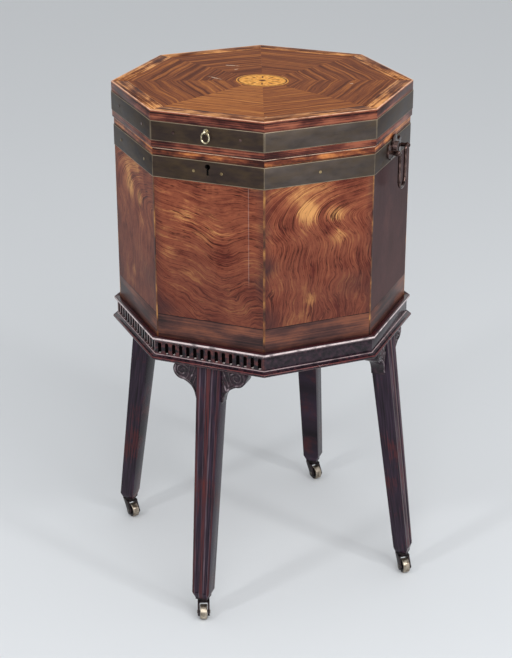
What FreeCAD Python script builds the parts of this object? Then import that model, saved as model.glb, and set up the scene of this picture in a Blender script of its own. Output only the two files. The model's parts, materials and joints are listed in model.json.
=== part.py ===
import FreeCAD, Part
import Sketcher
import math
import os
from FreeCAD import Placement, Rotation, Vector

# An octagonal cellarette: a lift-off box with a hinged lid, on a splayed stand with castors.
# The origin is on the floor under the middle; the keyhole faces -Y and the handles face +X and -X.
# Every "width" of an octagon is its half width, measured from the middle to the middle of a face.

doc = FreeCAD.newDocument("cellarette")
sizes = doc.addObject("Spreadsheet::Sheet", "sizes")
levels = doc.addObject("Spreadsheet::Sheet", "levels")

driving_sizes = {
    # octagon half widths
    "body_half": 194, "lid_overhang": 2, "lip_gap": 1.2, "lip_width": 4.8, "facing_thick": 4,
    "facing_proud": 4, "base_moulding_proud": 5.5, "base_hollow_radius": 7.2, "base_bead_radius": 2.7,
    "rail_width": 42, "mitre_gap": 0.1,
    # heights from the floor up
    "stand_underside": 383, "base_moulding_height": 7.5, "base_bead_height": 4.5, "frieze_height": 19,
    "lip_height": 7.5,
    "lip_bead_height": 5.2, "base_banding_height": 41, "panel_height": 198.5, "box_band_height": 30,
    "box_rim_height": 10.5, "lid_gap": 1, "lid_rim_height": 9.5, "lid_band_height": 27,
    "lid_crown_height": 14,
    # sheet and board thicknesses
    "wall_thick": 12, "veneer_thick": 1, "band_thick": 1.7, "floor_thick": 12, "lid_board_thick": 10,
    "liner_thick": 1, "divider_thick": 6, "stringing_width": 1.6, "fit_gap": 0.3, "running_gap": 0.06,
    # inside of the box
    "cell_pitch": 88, "divider_height": 150, "liner_height": 225, "halving_gap": 0.2,
    # legs
    "leg_top_half": 18, "leg_foot_half": 13, "leg_top_proud": 2, "leg_top_depth": 29, "leg_splay": 41,
    "leg_foot_depth": 21.5, "edge_bead": 4, "flute_wall": 1.5, "flute_depth": 2, "centre_bead_half": 3,
    "tenon_width": 22, "tenon_depth": 11, "tenon_height": 16, "foot_height": 32, "foot_chamfer": 9,
    "leg_tip_half": 8.7,
    # brackets under the rails
    "bracket_reach": 32.5, "bracket_drop": 56, "bracket_thick": 21, "bracket_setback": 1.5,
    "bracket_lobe": 14.5,
    "bracket_waist_in": 22, "bracket_waist_drop": 25, "bracket_hollow": 36, "inner_bracket_reach": 12,
    "inner_bracket_drop": 36, "inner_bracket_thick": 20, "inner_bracket_hollow": 90, "block_side": 26,
    "block_height": 20,
    # fret
    "fret_pitch": 10.75, "fret_slot": 5.2, "fret_neck": 3.2, "fret_flare": 2, "fret_border": 1.6,
    "fret_end": 1.2,
    # castors
    "castor_plate_half": 8.7, "castor_plate_thick": 2.5, "pintle_radius": 3, "collar_radius": 7.5,
    "collar_height": 5, "castor_trail": 10, "wheel_radius": 11.1, "wheel_tread": 10.5, "wheel_gap": 0.4,
    "cheek_thick": 3, "axle_radius": 1.6, "eye_radius": 6.5, "rivet_radius": 2.6, "rivet_thick": 1,
    "horn_thick": 2.4, "horn_half": 7.5, "wheel_edge": 1.5, "pintle_head_radius": 4.4,
    "pintle_head_thick": 1.4,
    "castor_screw_place": 5.5, "castor_screw_radius": 1.4, "castor_screw_length": 12,
    "screw_head_radius": 2.4, "screw_head_thick": 0.8,
    # hinges
    "hinge_place": 48, "leaf_length": 44, "leaf_reach": 22, "leaf_thick": 1.5, "knuckle_radius": 2.5,
    "centre_knuckle": 15, "knuckle_gap": 0.3, "hinge_pin_radius": 1.2, "hinge_clear": 0.3,
    "hinge_screw_radius": 1.3, "hinge_screw_length": 9, "hinge_screw_place": 14, "hinge_screw_in": 11,
    # lock
    "lock_width": 50, "lock_height": 32, "lock_depth": 10, "lock_wall": 1, "staple_place": 12.5,
    "staple_thick": 2.5, "staple_depth": 6.4, "staple_drop": 16, "staple_eye": 3.6, "link_plate_thick": 2,
    "bolt_travel": 6, "bolt_thick": 2.8, "bolt_bar_height": 6, "bolt_post": 3, "bolt_gap": 1,
    "slot_gap": 0.8,
    "keyhole_radius": 3.8, "keyhole_slot": 3.2, "keyhole_drop": 12, "keyhole_height": 22,
    # pins in the brass bands
    "pin_radius": 2, "pin_proud": 0.5, "pin_length": 3.8, "lock_pin_place": 20, "corner_pin_place": 48,
    # carrying handles
    "handle_height": 15, "post_place": 21.5, "post_stand": 11.5, "post_radius": 4, "post_shank": 2.8,
    "plate_thick": 2.5, "plate_half": 28, "plate_low": 11, "plate_dip": 9, "plate_high": 12,
    "plate_finial": 20, "plate_lobe": 7.2, "plate_hollow": 10, "plate_first_lobe": 10.4,
    "plate_second_lobe": 21.3, "plate_end_up": 2.2, "plate_shoulder": 23.5, "plate_crest": 8.5,
    "pierce_radius": 2.6, "pierce_place": 15.5, "handle_boss_radius": 10.5, "handle_boss_thick": 5.5,
    "bail_radius": 2.4, "bail_drop": 54, "bail_half": 13, "bail_bend": 4, "bail_end": 0.6,
    # ring pull
    "ring_half_width": 5.6, "ring_half_height": 7.2, "ring_wire": 1.2, "ring_post_thick": 2,
    "ring_post_radius": 2.6, "ring_stand": 4.4, "ring_drop": 7, "ring_eye_gap": 0.4, "ring_boss_radius": 4,
    "ring_boss_thick": 1.2, "ring_shank": 2,
    # lid top
    "crossband_width": 22, "patera_half_long": 37.5, "patera_half_short": 32.5, "centre_start": 4,
    "inlay_gap": 0.1,
}
for row, (alias, number) in enumerate(driving_sizes.items(), start=1):
    sizes.set(f"A{row}", alias.replace("_", " "))
    sizes.set(f"B{row}", str(number))
    sizes.setAlias(f"B{row}", alias)
doc.recompute()


# Sizes worked out from the driving ones, which every piece can read.
worked_out_sizes = {
    "seat": "sizes.stand_underside + sizes.base_moulding_height + sizes.frieze_height",
    "frieze_foot": "sizes.stand_underside + sizes.base_moulding_height",
    "lip_top": "seat + sizes.lip_height",
    "panel_foot": "seat + sizes.base_banding_height",
    "box_band_foot": "panel_foot + sizes.panel_height",
    "box_band_top": "box_band_foot + sizes.box_band_height",
    "rim_top": "box_band_top + sizes.box_rim_height",
    "lid_foot": "rim_top + sizes.lid_gap",
    "lid_band_foot": "lid_foot + sizes.lid_rim_height",
    "lid_band_top": "lid_band_foot + sizes.lid_band_height",
    "top": "lid_band_top + sizes.lid_crown_height",
    "board_top": "top - sizes.veneer_thick",
    "board_foot": "board_top - sizes.lid_board_thick",
    "floor_top": "seat + sizes.floor_thick",
    "carcase_half": "sizes.body_half - sizes.veneer_thick",
    "inside_half": "carcase_half - sizes.wall_thick",
    "liner_half": "inside_half - sizes.fit_gap",
    "lid_half": "sizes.body_half + sizes.lid_overhang",
    "lid_core_half": "lid_half - sizes.veneer_thick",
    "lid_inside_half": "lid_core_half - sizes.wall_thick",
    "lip_inner": "sizes.body_half + sizes.lip_gap",
    "lip_outer": "lip_inner + sizes.lip_width",
    "facing_outer": "sizes.body_half + sizes.facing_proud",
    "rail_outer": "facing_outer - sizes.facing_thick",
    "rail_inner": "rail_outer - sizes.rail_width",
    "leg_top_out": "facing_outer + sizes.leg_top_proud",
    "leg_foot_out": "leg_top_out + sizes.leg_splay",
    "foot_axis": "leg_foot_out - sizes.leg_foot_depth / 2",
    "leg_end": "sizes.foot_height + sizes.foot_chamfer",
    "leg_slope": "(sizes.leg_top_half - sizes.leg_foot_half) / (sizes.stand_underside - leg_end)",
    "tenon_axis": "leg_top_out - sizes.leg_top_depth / 2",
    "knuckle_axis_out": "lid_half + sizes.hinge_clear + sizes.knuckle_radius",
    "knuckle_axis_up": "(rim_top + lid_foot) / 2",
    "box_face": "carcase_half + sizes.band_thick",
    "lid_face": "lid_core_half + sizes.band_thick",
    "handle_up": "box_band_foot + sizes.handle_height + sizes.fit_gap",
    "bail_out": "box_face + sizes.plate_thick + sizes.post_stand",
    "ring_up": "lid_band_top - sizes.ring_drop",
    "ring_out": "lid_face + sizes.ring_stand",
    "lock_back": "inside_half + sizes.lock_depth",
    "collar_foot": "sizes.foot_height - sizes.castor_plate_thick - sizes.fit_gap - sizes.collar_height",
    "horn_top": "collar_foot + sizes.horn_thick",
    "wheel_side": "sizes.wheel_tread / 2 + sizes.wheel_gap",
    "fork_side": "wheel_side + sizes.cheek_thick",
    "leaf_start": "sizes.body_half - sizes.leaf_reach",
    "screw_out": "sizes.body_half - sizes.hinge_screw_in",
    "tray_half": "liner_half - sizes.liner_thick",
    "tray_floor": "floor_top + sizes.liner_thick",
    "divider_half": "tray_half - sizes.fit_gap",
    "lock_foot": "rim_top - sizes.lock_height",
    "lock_middle": "inside_half + sizes.lock_depth / 2",
    "keyhole_up": "box_band_foot + sizes.keyhole_height",
    "staple_foot": "rim_top - sizes.staple_drop",
}
for row, (alias, formula) in enumerate(worked_out_sizes.items(), start=1):
    levels.set(f"A{row}", alias.replace("_", " "))
    levels.setAlias(f"B{row}", alias)
    levels.set(f"B{row}", f"={formula}")
doc.recompute()

FACE_COUNT = 8
TURN = 360
FRETTED_FACES = 4
FACE_TURN = TURN / FACE_COUNT
HALF_CORNER = FACE_TURN / 2
CORNER = f"/ cos({HALF_CORNER} deg)"
HALF_SIDE = f"* tan({HALF_CORNER} deg)"
FRONT, RIGHT, BACK, LEFT = 0, 90, 180, 270
LEG_SIDES = {"front": FRONT, "right": RIGHT, "back": BACK, "left": LEFT}
X_AXIS, Y_AXIS, Z_AXIS = Vector(1, 0, 0), Vector(0, 1, 0), Vector(0, 0, 1)
nodes = {}


def amount(formula):
    """The number that a formula on the sheet gives now."""
    return float(sizes.evalExpression(str(formula)))


def origin_part(body, role):
    """The origin plane or axis of a body with this role."""
    return next(part for part in body.Origin.OriginFeatures if part.Role == role)


def node(name, part):
    """Labels an object as the sub-part of this name."""
    part.Label = name
    nodes[name] = part
    return part


def new_body(name):
    """An empty body that is a sub-part."""
    return node(name, doc.addObject("PartDesign::Body", name))


def on_plane(body, role, offset=0, turn=0, turn_axis=Y_AXIS):
    """A new sketch on an origin plane, moved along the plane's normal or turned about its own axis."""
    sketch = body.newObject("Sketcher::SketchObject", "outline")
    sketch.AttachmentSupport = [(origin_part(body, role), "")]
    sketch.MapMode = "FlatFace"
    sketch.AttachmentOffset = Placement(Vector(), Rotation(turn_axis, turn))
    normal = {"Base.x": f"({offset}) * sin({turn} deg)", "Base.z": f"({offset}) * cos({turn} deg)"}
    for place, formula in normal.items():
        if amount(formula):
            sketch.setExpression(f".AttachmentOffset.{place}", formula)
    return sketch


def bind(sketch, kind, where, formula):
    """A constraint of a sketch, bound to a formula."""
    number = sketch.addConstraint(Sketcher.Constraint(kind, *where, amount(formula)))
    sketch.setExpression(f"Constraints[{number}]", str(formula))


def draw(sketch, corners, closed=True):
    """An outline, or an open path. A corner is (x, y), or (x, y, radius) when an arc leads on from it; a
    positive radius swings anticlockwise and a negative one clockwise."""
    places = [Vector(amount(corner[0]), amount(corner[1]), 0) for corner in corners]
    ends = []
    following = places[1:] + places[:1] if closed else places[1:]
    for corner, start, stop in zip(corners, places, following):
        if len(corner) == 2:
            number = sketch.addGeometry(Part.LineSegment(start, stop), False)
            ends.append((number, 1, 2))
            continue
        radius = amount(corner[2])
        chord = stop - start
        rise = math.sqrt(max(radius ** 2 - (chord.Length / 2) ** 2, 0))
        across = Vector(-chord.y, chord.x, 0).normalize() * math.copysign(rise, radius)
        centre = (start + stop) * 0.5 + across
        first, last = (start, stop) if radius > 0 else (stop, start)
        angles = [math.atan2(point.y - centre.y, point.x - centre.x) for point in (first, last)]
        circle = Part.Circle(centre, Z_AXIS, abs(radius))
        number = sketch.addGeometry(Part.ArcOfCircle(circle, *angles), False)
        ends.append((number, 1, 2) if radius > 0 else (number, 2, 1))
    for before, after in zip(ends, ends[1:] + ends[:1] if closed else ends[1:]):
        sketch.addConstraint(Sketcher.Constraint("Coincident", before[0], before[2], after[0], after[1]))
    if not closed:
        bind(sketch, "DistanceX", (-1, 1, ends[-1][0], ends[-1][2]), corners[-1][0])
        bind(sketch, "DistanceY", (-1, 1, ends[-1][0], ends[-1][2]), corners[-1][1])
    for corner, (number, start, stop) in zip(corners, ends):
        bind(sketch, "DistanceX", (-1, 1, number, start), corner[0])
        bind(sketch, "DistanceY", (-1, 1, number, start), corner[1])
        if len(corner) == 3:
            bind(sketch, "Radius", (number,), f"abs({corner[2]})")
    return sketch


def draw_circle(sketch, x, y, radius):
    """A circle bound to the sheet."""
    circle = Part.Circle(Vector(amount(x), amount(y), 0), Z_AXIS, amount(radius))
    number = sketch.addGeometry(circle, False)
    bind(sketch, "DistanceX", (-1, 1, number, 3), x)
    bind(sketch, "DistanceY", (-1, 1, number, 3), y)
    bind(sketch, "Radius", (number,), radius)
    return sketch


def rectangle(left, right, low, high):
    """The corners of a rectangle, anticlockwise."""
    return [(left, low), (right, low), (right, high), (left, high)]


def pad(body, sketch, length, both_ways=False):
    """A pad along the sketch's normal, or half of it to each side."""
    feature = body.newObject("PartDesign::Pad", "pad")
    feature.Profile = sketch
    feature.setExpression("Length", length)
    feature.Midplane = both_ways
    return feature


def pocket(body, sketch, depth, forwards=False, both_ways=False):
    """A pocket against the sketch's normal, or along it, which has to take something away."""
    before = body.Shape.Volume
    feature = body.newObject("PartDesign::Pocket", "pocket")
    feature.Profile = sketch
    feature.setExpression("Length", depth)
    feature.Reversed = forwards
    feature.Midplane = both_ways
    body.Tip = feature
    doc.recompute()
    if body.Shape.Volume >= before:
        raise ValueError(f"{body.Label}: a pocket cut nothing")
    return feature


def around(body, originals, count=FACE_COUNT, angle=TURN):
    """Copies turned about the upright axis."""
    pattern = body.newObject("PartDesign::PolarPattern", "around")
    pattern.Originals = originals
    pattern.Axis = (origin_part(body, "Z_Axis"), [""])
    pattern.Angle = angle
    pattern.Occurrences = count
    body.Tip = pattern
    doc.recompute()
    return pattern


def mitred_strip(body, profile, gap="sizes.mitre_gap"):
    """One face's length of a section, cut at both ends beside the corner planes of the octagon. The section
    is (half width, height) corners."""
    sections = []
    for side in (-1, 1):
        turn = side * HALF_CORNER - RIGHT
        sketch = on_plane(body, "XZ_Plane", f"{side} * {gap} / 2", turn)
        draw(sketch, [(f"(({out}) - ({gap}) / 2 * sin({HALF_CORNER} deg)) {CORNER}", up, *radius)
                      for out, up, *radius in profile])
        sections.append(sketch)
    strip = body.newObject("PartDesign::AdditiveLoft", "strip")
    strip.Profile = sections[0]
    strip.Sections = sections[1:]
    strip.Ruled = True
    doc.recompute()
    return strip


def mitred_ring(name, profile, count=FACE_COUNT, angle=TURN, start=0):
    """Mitred strips on some or all faces of the octagon, each a separate solid."""
    body = new_body(name)
    strip = mitred_strip(body, profile)
    if count > 1:
        around(body, [strip], count, angle)
    body.Placement = Placement(Vector(), Rotation(Z_AXIS, start))
    return body


def block(name, corner, size):
    """A box from its lowest corner and its size, bound to the sheet."""
    solid = doc.addObject("Part::Box", name)
    for side, formula in zip(("Length", "Width", "Height"), size):
        solid.setExpression(side, formula)
    for axis, formula in zip("xyz", corner):
        solid.setExpression(f".Placement.Base.{axis}", formula)
    return solid


def rod(name, foot, radius, length, direction=Z_AXIS):
    """A cylinder from the middle of its foot, bound to the sheet."""
    solid = doc.addObject("Part::Cylinder", name)
    solid.Placement = Placement(Vector(), Rotation(Z_AXIS, direction))
    solid.setExpression("Radius", radius)
    solid.setExpression("Height", length)
    for axis, formula in zip("xyz", foot):
        solid.setExpression(f".Placement.Base.{axis}", formula)
    return solid


def ball(name, centre, radius):
    """A ball bound to the sheet."""
    solid = doc.addObject("Part::Sphere", name)
    solid.setExpression("Radius", radius)
    for axis, formula in zip("xyz", centre):
        solid.setExpression(f".Placement.Base.{axis}", formula)
    return solid


def joined(name, solids):
    """Solids fused into one."""
    fused = doc.addObject("Part::MultiFuse", name)
    fused.Shapes = solids
    fused.Refine = True
    return fused


def group(name, solids):
    """Separate solids kept together."""
    compound = doc.addObject("Part::Compound", name)
    compound.Links = solids
    return compound


def cut(name, base, tool):
    """A solid less another."""
    result = doc.addObject("Part::Cut", name)
    result.Base = base
    result.Tool = tool
    result.Refine = True
    return result


# Stand: eight mitred rails, mortised for the four legs, carry the box on their tops.
rails = mitred_ring("stand_rails", rectangle("levels.rail_inner", "levels.rail_outer",
                                             "sizes.stand_underside", "levels.seat"))
mortise = on_plane(rails, "XY_Plane", "sizes.stand_underside")
draw(mortise, rectangle("-sizes.tenon_width / 2", "sizes.tenon_width / 2",
                        "-levels.tenon_axis - sizes.tenon_depth / 2",
                        "-levels.tenon_axis + sizes.tenon_depth / 2"))
mortises = pocket(rails, mortise, "sizes.tenon_height + sizes.fit_gap", forwards=True)
around(rails, [mortises], len(LEG_SIDES))

# Stand: the lip moulding stands on the rails and facings and keeps the box in place; it ends in a bead.
bead_foot = "levels.lip_top - sizes.lip_bead_height"
mitred_ring("stand_lip", [("levels.lip_inner", "levels.seat"),
                          ("levels.facing_outer", "levels.seat"),
                          ("levels.facing_outer", bead_foot),
                          ("levels.lip_outer", bead_foot, "sizes.lip_bead_height / 2"),
                          ("levels.lip_outer", "levels.lip_top"),
                          ("levels.lip_inner", "levels.lip_top")])

# Stand: base moulding, a bead below a hollow.
base_outer = "levels.facing_outer + sizes.base_moulding_proud"
base_bead_top = "sizes.stand_underside + sizes.base_bead_height"
mitred_ring("base_moulding", [("levels.rail_outer", "sizes.stand_underside"),
                              (base_outer, "sizes.stand_underside", "sizes.base_bead_radius"),
                              (base_outer, base_bead_top, "-sizes.base_hollow_radius"),
                              ("levels.facing_outer", "levels.frieze_foot"),
                              ("levels.rail_outer", "levels.frieze_foot")])

# Stand: thin facings on the rails. The four faces from the front round to the back left carry a blind
# fret, a row of small columns cut through the facing; the other four are plain.
facing_turn = (FRETTED_FACES - 1) * FACE_TURN
facing = rectangle("levels.rail_outer", "levels.facing_outer", "levels.frieze_foot", "levels.seat")
fret = new_body("fretwork")
fret_strip = mitred_strip(fret, facing)
fret_row = on_plane(fret, "XZ_Plane", "levels.facing_outer")
slot_count = int(amount(f"2 * (levels.facing_outer {HALF_SIDE} - sizes.fret_end) / sizes.fret_pitch"))
slot_foot = "levels.frieze_foot + sizes.fret_border"
slot_top = "levels.seat - sizes.fret_border"
for place in range(slot_count):
    middle = f"{place - (slot_count - 1) / 2} * sizes.fret_pitch"
    neck_left, neck_right = f"{middle} - sizes.fret_neck / 2", f"{middle} + sizes.fret_neck / 2"
    slot_left, slot_right = f"{middle} - sizes.fret_slot / 2", f"{middle} + sizes.fret_slot / 2"
    draw(fret_row, [(neck_left, slot_foot), (neck_right, slot_foot),
                    (slot_right, f"{slot_foot} + sizes.fret_flare"),
                    (slot_right, f"{slot_top} - sizes.fret_flare"),
                    (neck_right, slot_top), (neck_left, slot_top),
                    (slot_left, f"{slot_top} - sizes.fret_flare"),
                    (slot_left, f"{slot_foot} + sizes.fret_flare")])
fret_slots = pocket(fret, fret_row, "sizes.facing_thick + sizes.fit_gap")
around(fret, [fret_strip, fret_slots], FRETTED_FACES, facing_turn)
fret.Placement = Placement(Vector(), Rotation(Z_AXIS, -facing_turn))
mitred_ring("plain_facings", facing, FACE_COUNT - FRETTED_FACES, facing_turn, FACE_TURN)

# Stand: triangular blocks glued into the inner corners of the rails.
blocks = new_body("corner_blocks")
block_out = f"levels.rail_inner {CORNER}"
block_back = f"{block_out} - sizes.block_side * sin({HALF_CORNER} deg)"
block_across = f"sizes.block_side * cos({HALF_CORNER} deg)"
block_plan = draw(on_plane(blocks, "XY_Plane", "sizes.stand_underside"),
                  [(block_back, f"-{block_across}"), (block_out, "0"), (block_back, block_across)])
around(blocks, [pad(blocks, block_plan, "sizes.block_height")])
blocks.Placement = Placement(Vector(), Rotation(Z_AXIS, HALF_CORNER))


def leg_section(half, out, depth):
    """A leg cut across: beads at both edges and in the middle of the outer face, with flutes between."""
    floor = f"-{out} + sizes.flute_depth"
    right = [("sizes.centre_bead_half", f"-{out}"),
             ("sizes.centre_bead_half + sizes.flute_wall", floor),
             (f"{half} - sizes.edge_bead - sizes.flute_wall", floor),
             (f"{half} - sizes.edge_bead", f"-{out}"),
             (half, f"-{out}"),
             (half, f"-{out} + {depth}")]
    return right + [(f"-({along})", across) for along, across in reversed(right)]


def loft(body, start, stop):
    """A straight-sided solid from one section to another."""
    solid = body.newObject("PartDesign::AdditiveLoft", "loft")
    solid.Profile = start
    solid.Sections = [stop]
    solid.Ruled = True
    body.Tip = solid
    doc.recompute()


# Stand: four splayed and tapered legs with chamfered feet, each tenoned up into a rail and bored for its
# castor's screws.
screw_places = [(x_side, y_side) for x_side, y_side in ((-1, -1), (1, 1))]
for side, turn in LEG_SIDES.items():
    leg = new_body(f"leg_{side}")
    leg_top = draw(on_plane(leg, "XY_Plane", "sizes.stand_underside"),
                   leg_section("sizes.leg_top_half", "levels.leg_top_out", "sizes.leg_top_depth"))
    leg_foot = draw(on_plane(leg, "XY_Plane", "levels.leg_end"),
                    leg_section("sizes.leg_foot_half", "levels.leg_foot_out", "sizes.leg_foot_depth"))
    loft(leg, leg_top, leg_foot)
    foot_top = draw(on_plane(leg, "XY_Plane", "levels.leg_end"),
                    rectangle("-sizes.leg_foot_half", "sizes.leg_foot_half",
                              "-levels.leg_foot_out", "-levels.leg_foot_out + sizes.leg_foot_depth"))
    foot_tip = draw(on_plane(leg, "XY_Plane", "sizes.foot_height"),
                    rectangle("-sizes.leg_tip_half", "sizes.leg_tip_half",
                              "-levels.foot_axis - sizes.leg_tip_half",
                              "-levels.foot_axis + sizes.leg_tip_half"))
    loft(leg, foot_top, foot_tip)
    tenon = draw(on_plane(leg, "XY_Plane", "sizes.stand_underside"),
                 rectangle("-sizes.tenon_width / 2 + sizes.running_gap",
                           "sizes.tenon_width / 2 - sizes.running_gap",
                           "-levels.tenon_axis - sizes.tenon_depth / 2 + sizes.running_gap",
                           "-levels.tenon_axis + sizes.tenon_depth / 2 - sizes.running_gap"))
    leg.Tip = pad(leg, tenon, "sizes.tenon_height")
    doc.recompute()
    holes = on_plane(leg, "XY_Plane", "sizes.foot_height")
    for x_side, y_side in screw_places:
        draw_circle(holes, f"{x_side} * sizes.castor_screw_place",
                    f"-levels.foot_axis + {y_side} * sizes.castor_screw_place",
                    "sizes.castor_screw_radius + sizes.running_gap")
    pocket(leg, holes, "sizes.castor_screw_length", forwards=True)
    leg.Placement = Placement(Vector(), Rotation(Z_AXIS, turn))

# Stand: a pair of carved brackets beside each leg, under the rail.
bracket_foot = "sizes.stand_underside - sizes.bracket_drop"
bracket_waist = "sizes.stand_underside - sizes.bracket_waist_drop"
brackets = new_body("carved_brackets")
bracket_right = [("sizes.leg_top_half", "sizes.stand_underside"),
                 ("sizes.leg_top_half - levels.leg_slope * sizes.bracket_drop", bracket_foot,
                  "-sizes.bracket_hollow"),
                 ("sizes.leg_top_half + sizes.bracket_waist_in", bracket_waist, "sizes.bracket_lobe"),
                 ("sizes.leg_top_half + sizes.bracket_reach", "sizes.stand_underside")]
(top_x, top_z), (foot_x, foot_z, hollow), (waist_x, waist_z, lobe), (tip_x, tip_z) = bracket_right
bracket_left = [(f"-({tip_x})", tip_z, lobe), (f"-({waist_x})", waist_z, hollow),
                (f"-({foot_x})", foot_z), (f"-({top_x})", top_z)]
bracket_back = "levels.leg_top_out - sizes.bracket_setback - sizes.bracket_thick"
bracket_pads = []
for outline in (bracket_right, bracket_left):
    bracket_face = draw(on_plane(brackets, "XZ_Plane", bracket_back), outline)
    bracket_pads.append(pad(brackets, bracket_face, "sizes.bracket_thick"))
around(brackets, bracket_pads, len(LEG_SIDES))

# Stand: a plain hollow bracket behind each leg.
leg_inner = "-levels.leg_top_out + sizes.leg_top_depth"
inner_slope = ("(levels.leg_foot_out - sizes.leg_foot_depth - levels.leg_top_out + sizes.leg_top_depth)"
               " / (sizes.stand_underside - levels.leg_end)")
inner_brackets = new_body("inner_brackets")
inner_outline = draw(on_plane(inner_brackets, "YZ_Plane"),
                     [(f"{leg_inner} - sizes.inner_bracket_drop * {inner_slope}",
                       "sizes.stand_underside - sizes.inner_bracket_drop", "-sizes.inner_bracket_hollow"),
                      (f"{leg_inner} + sizes.inner_bracket_reach", "sizes.stand_underside"),
                      (leg_inner, "sizes.stand_underside")])
inner_pad = pad(inner_brackets, inner_outline, "sizes.inner_bracket_thick", both_ways=True)
around(inner_brackets, [inner_pad], len(LEG_SIDES))


def screw(name, head_foot, direction, radius, length, spare="0"):
    """A screw from the outer face of its head, or the hole for it with some room to spare."""
    head = rod(f"{name}_head", head_foot, f"sizes.screw_head_radius + {spare}",
               "sizes.screw_head_thick", direction)
    shank = rod(f"{name}_shank", head_foot, f"{radius} + {spare}", length, direction)
    return joined(name, [head, shank])


def at_foot(side):
    """The swivel axis of a castor on the floor plan."""
    turn = LEG_SIDES[side]
    return f"levels.foot_axis * sin({turn} deg)", f"-levels.foot_axis * cos({turn} deg)"


# Castors: a plate screwed under each leg, with a pintle that has a riveted head.
pintle_foot = "levels.collar_foot - sizes.fit_gap - sizes.pintle_head_thick"
plate_foot = "sizes.foot_height - sizes.castor_plate_thick"
plates, screws = [], []
for side, turn in LEG_SIDES.items():
    foot_x, foot_y = at_foot(side)
    plate = block(f"plate_{side}", [f"{foot_x} - sizes.castor_plate_half",
                                    f"{foot_y} - sizes.castor_plate_half", plate_foot],
                  ["2 * sizes.castor_plate_half", "2 * sizes.castor_plate_half",
                   "sizes.castor_plate_thick"])
    pintle = rod(f"pintle_{side}", [foot_x, foot_y, pintle_foot], "sizes.pintle_radius",
                 f"{plate_foot} - ({pintle_foot})")
    pintle_head = rod(f"pintle_head_{side}", [foot_x, foot_y, pintle_foot], "sizes.pintle_head_radius",
                      "sizes.pintle_head_thick")
    holes = []
    for index, (x_side, y_side) in enumerate(screw_places):
        along, across = (x_side, y_side) if turn in (FRONT, BACK) else (-y_side, x_side)
        place = [f"{foot_x} + {along} * sizes.castor_screw_place",
                 f"{foot_y} + {across} * sizes.castor_screw_place", plate_foot]
        sizes_of_screw = ("sizes.castor_screw_radius", "sizes.castor_screw_length")
        screws.append(screw(f"castor_screw_{side}_{index}", place, Z_AXIS, *sizes_of_screw))
        holes.append(screw(f"castor_hole_{side}_{index}", place, Z_AXIS, *sizes_of_screw,
                           "sizes.running_gap"))
    plates.append(cut(f"drilled_plate_{side}", joined(f"whole_plate_{side}", [plate, pintle, pintle_head]),
                      group(f"plate_holes_{side}", holes)))
node("castor_plates", group("castor_plate_group", plates))
node("castor_screws", group("castor_screw_group", screws))

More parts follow.
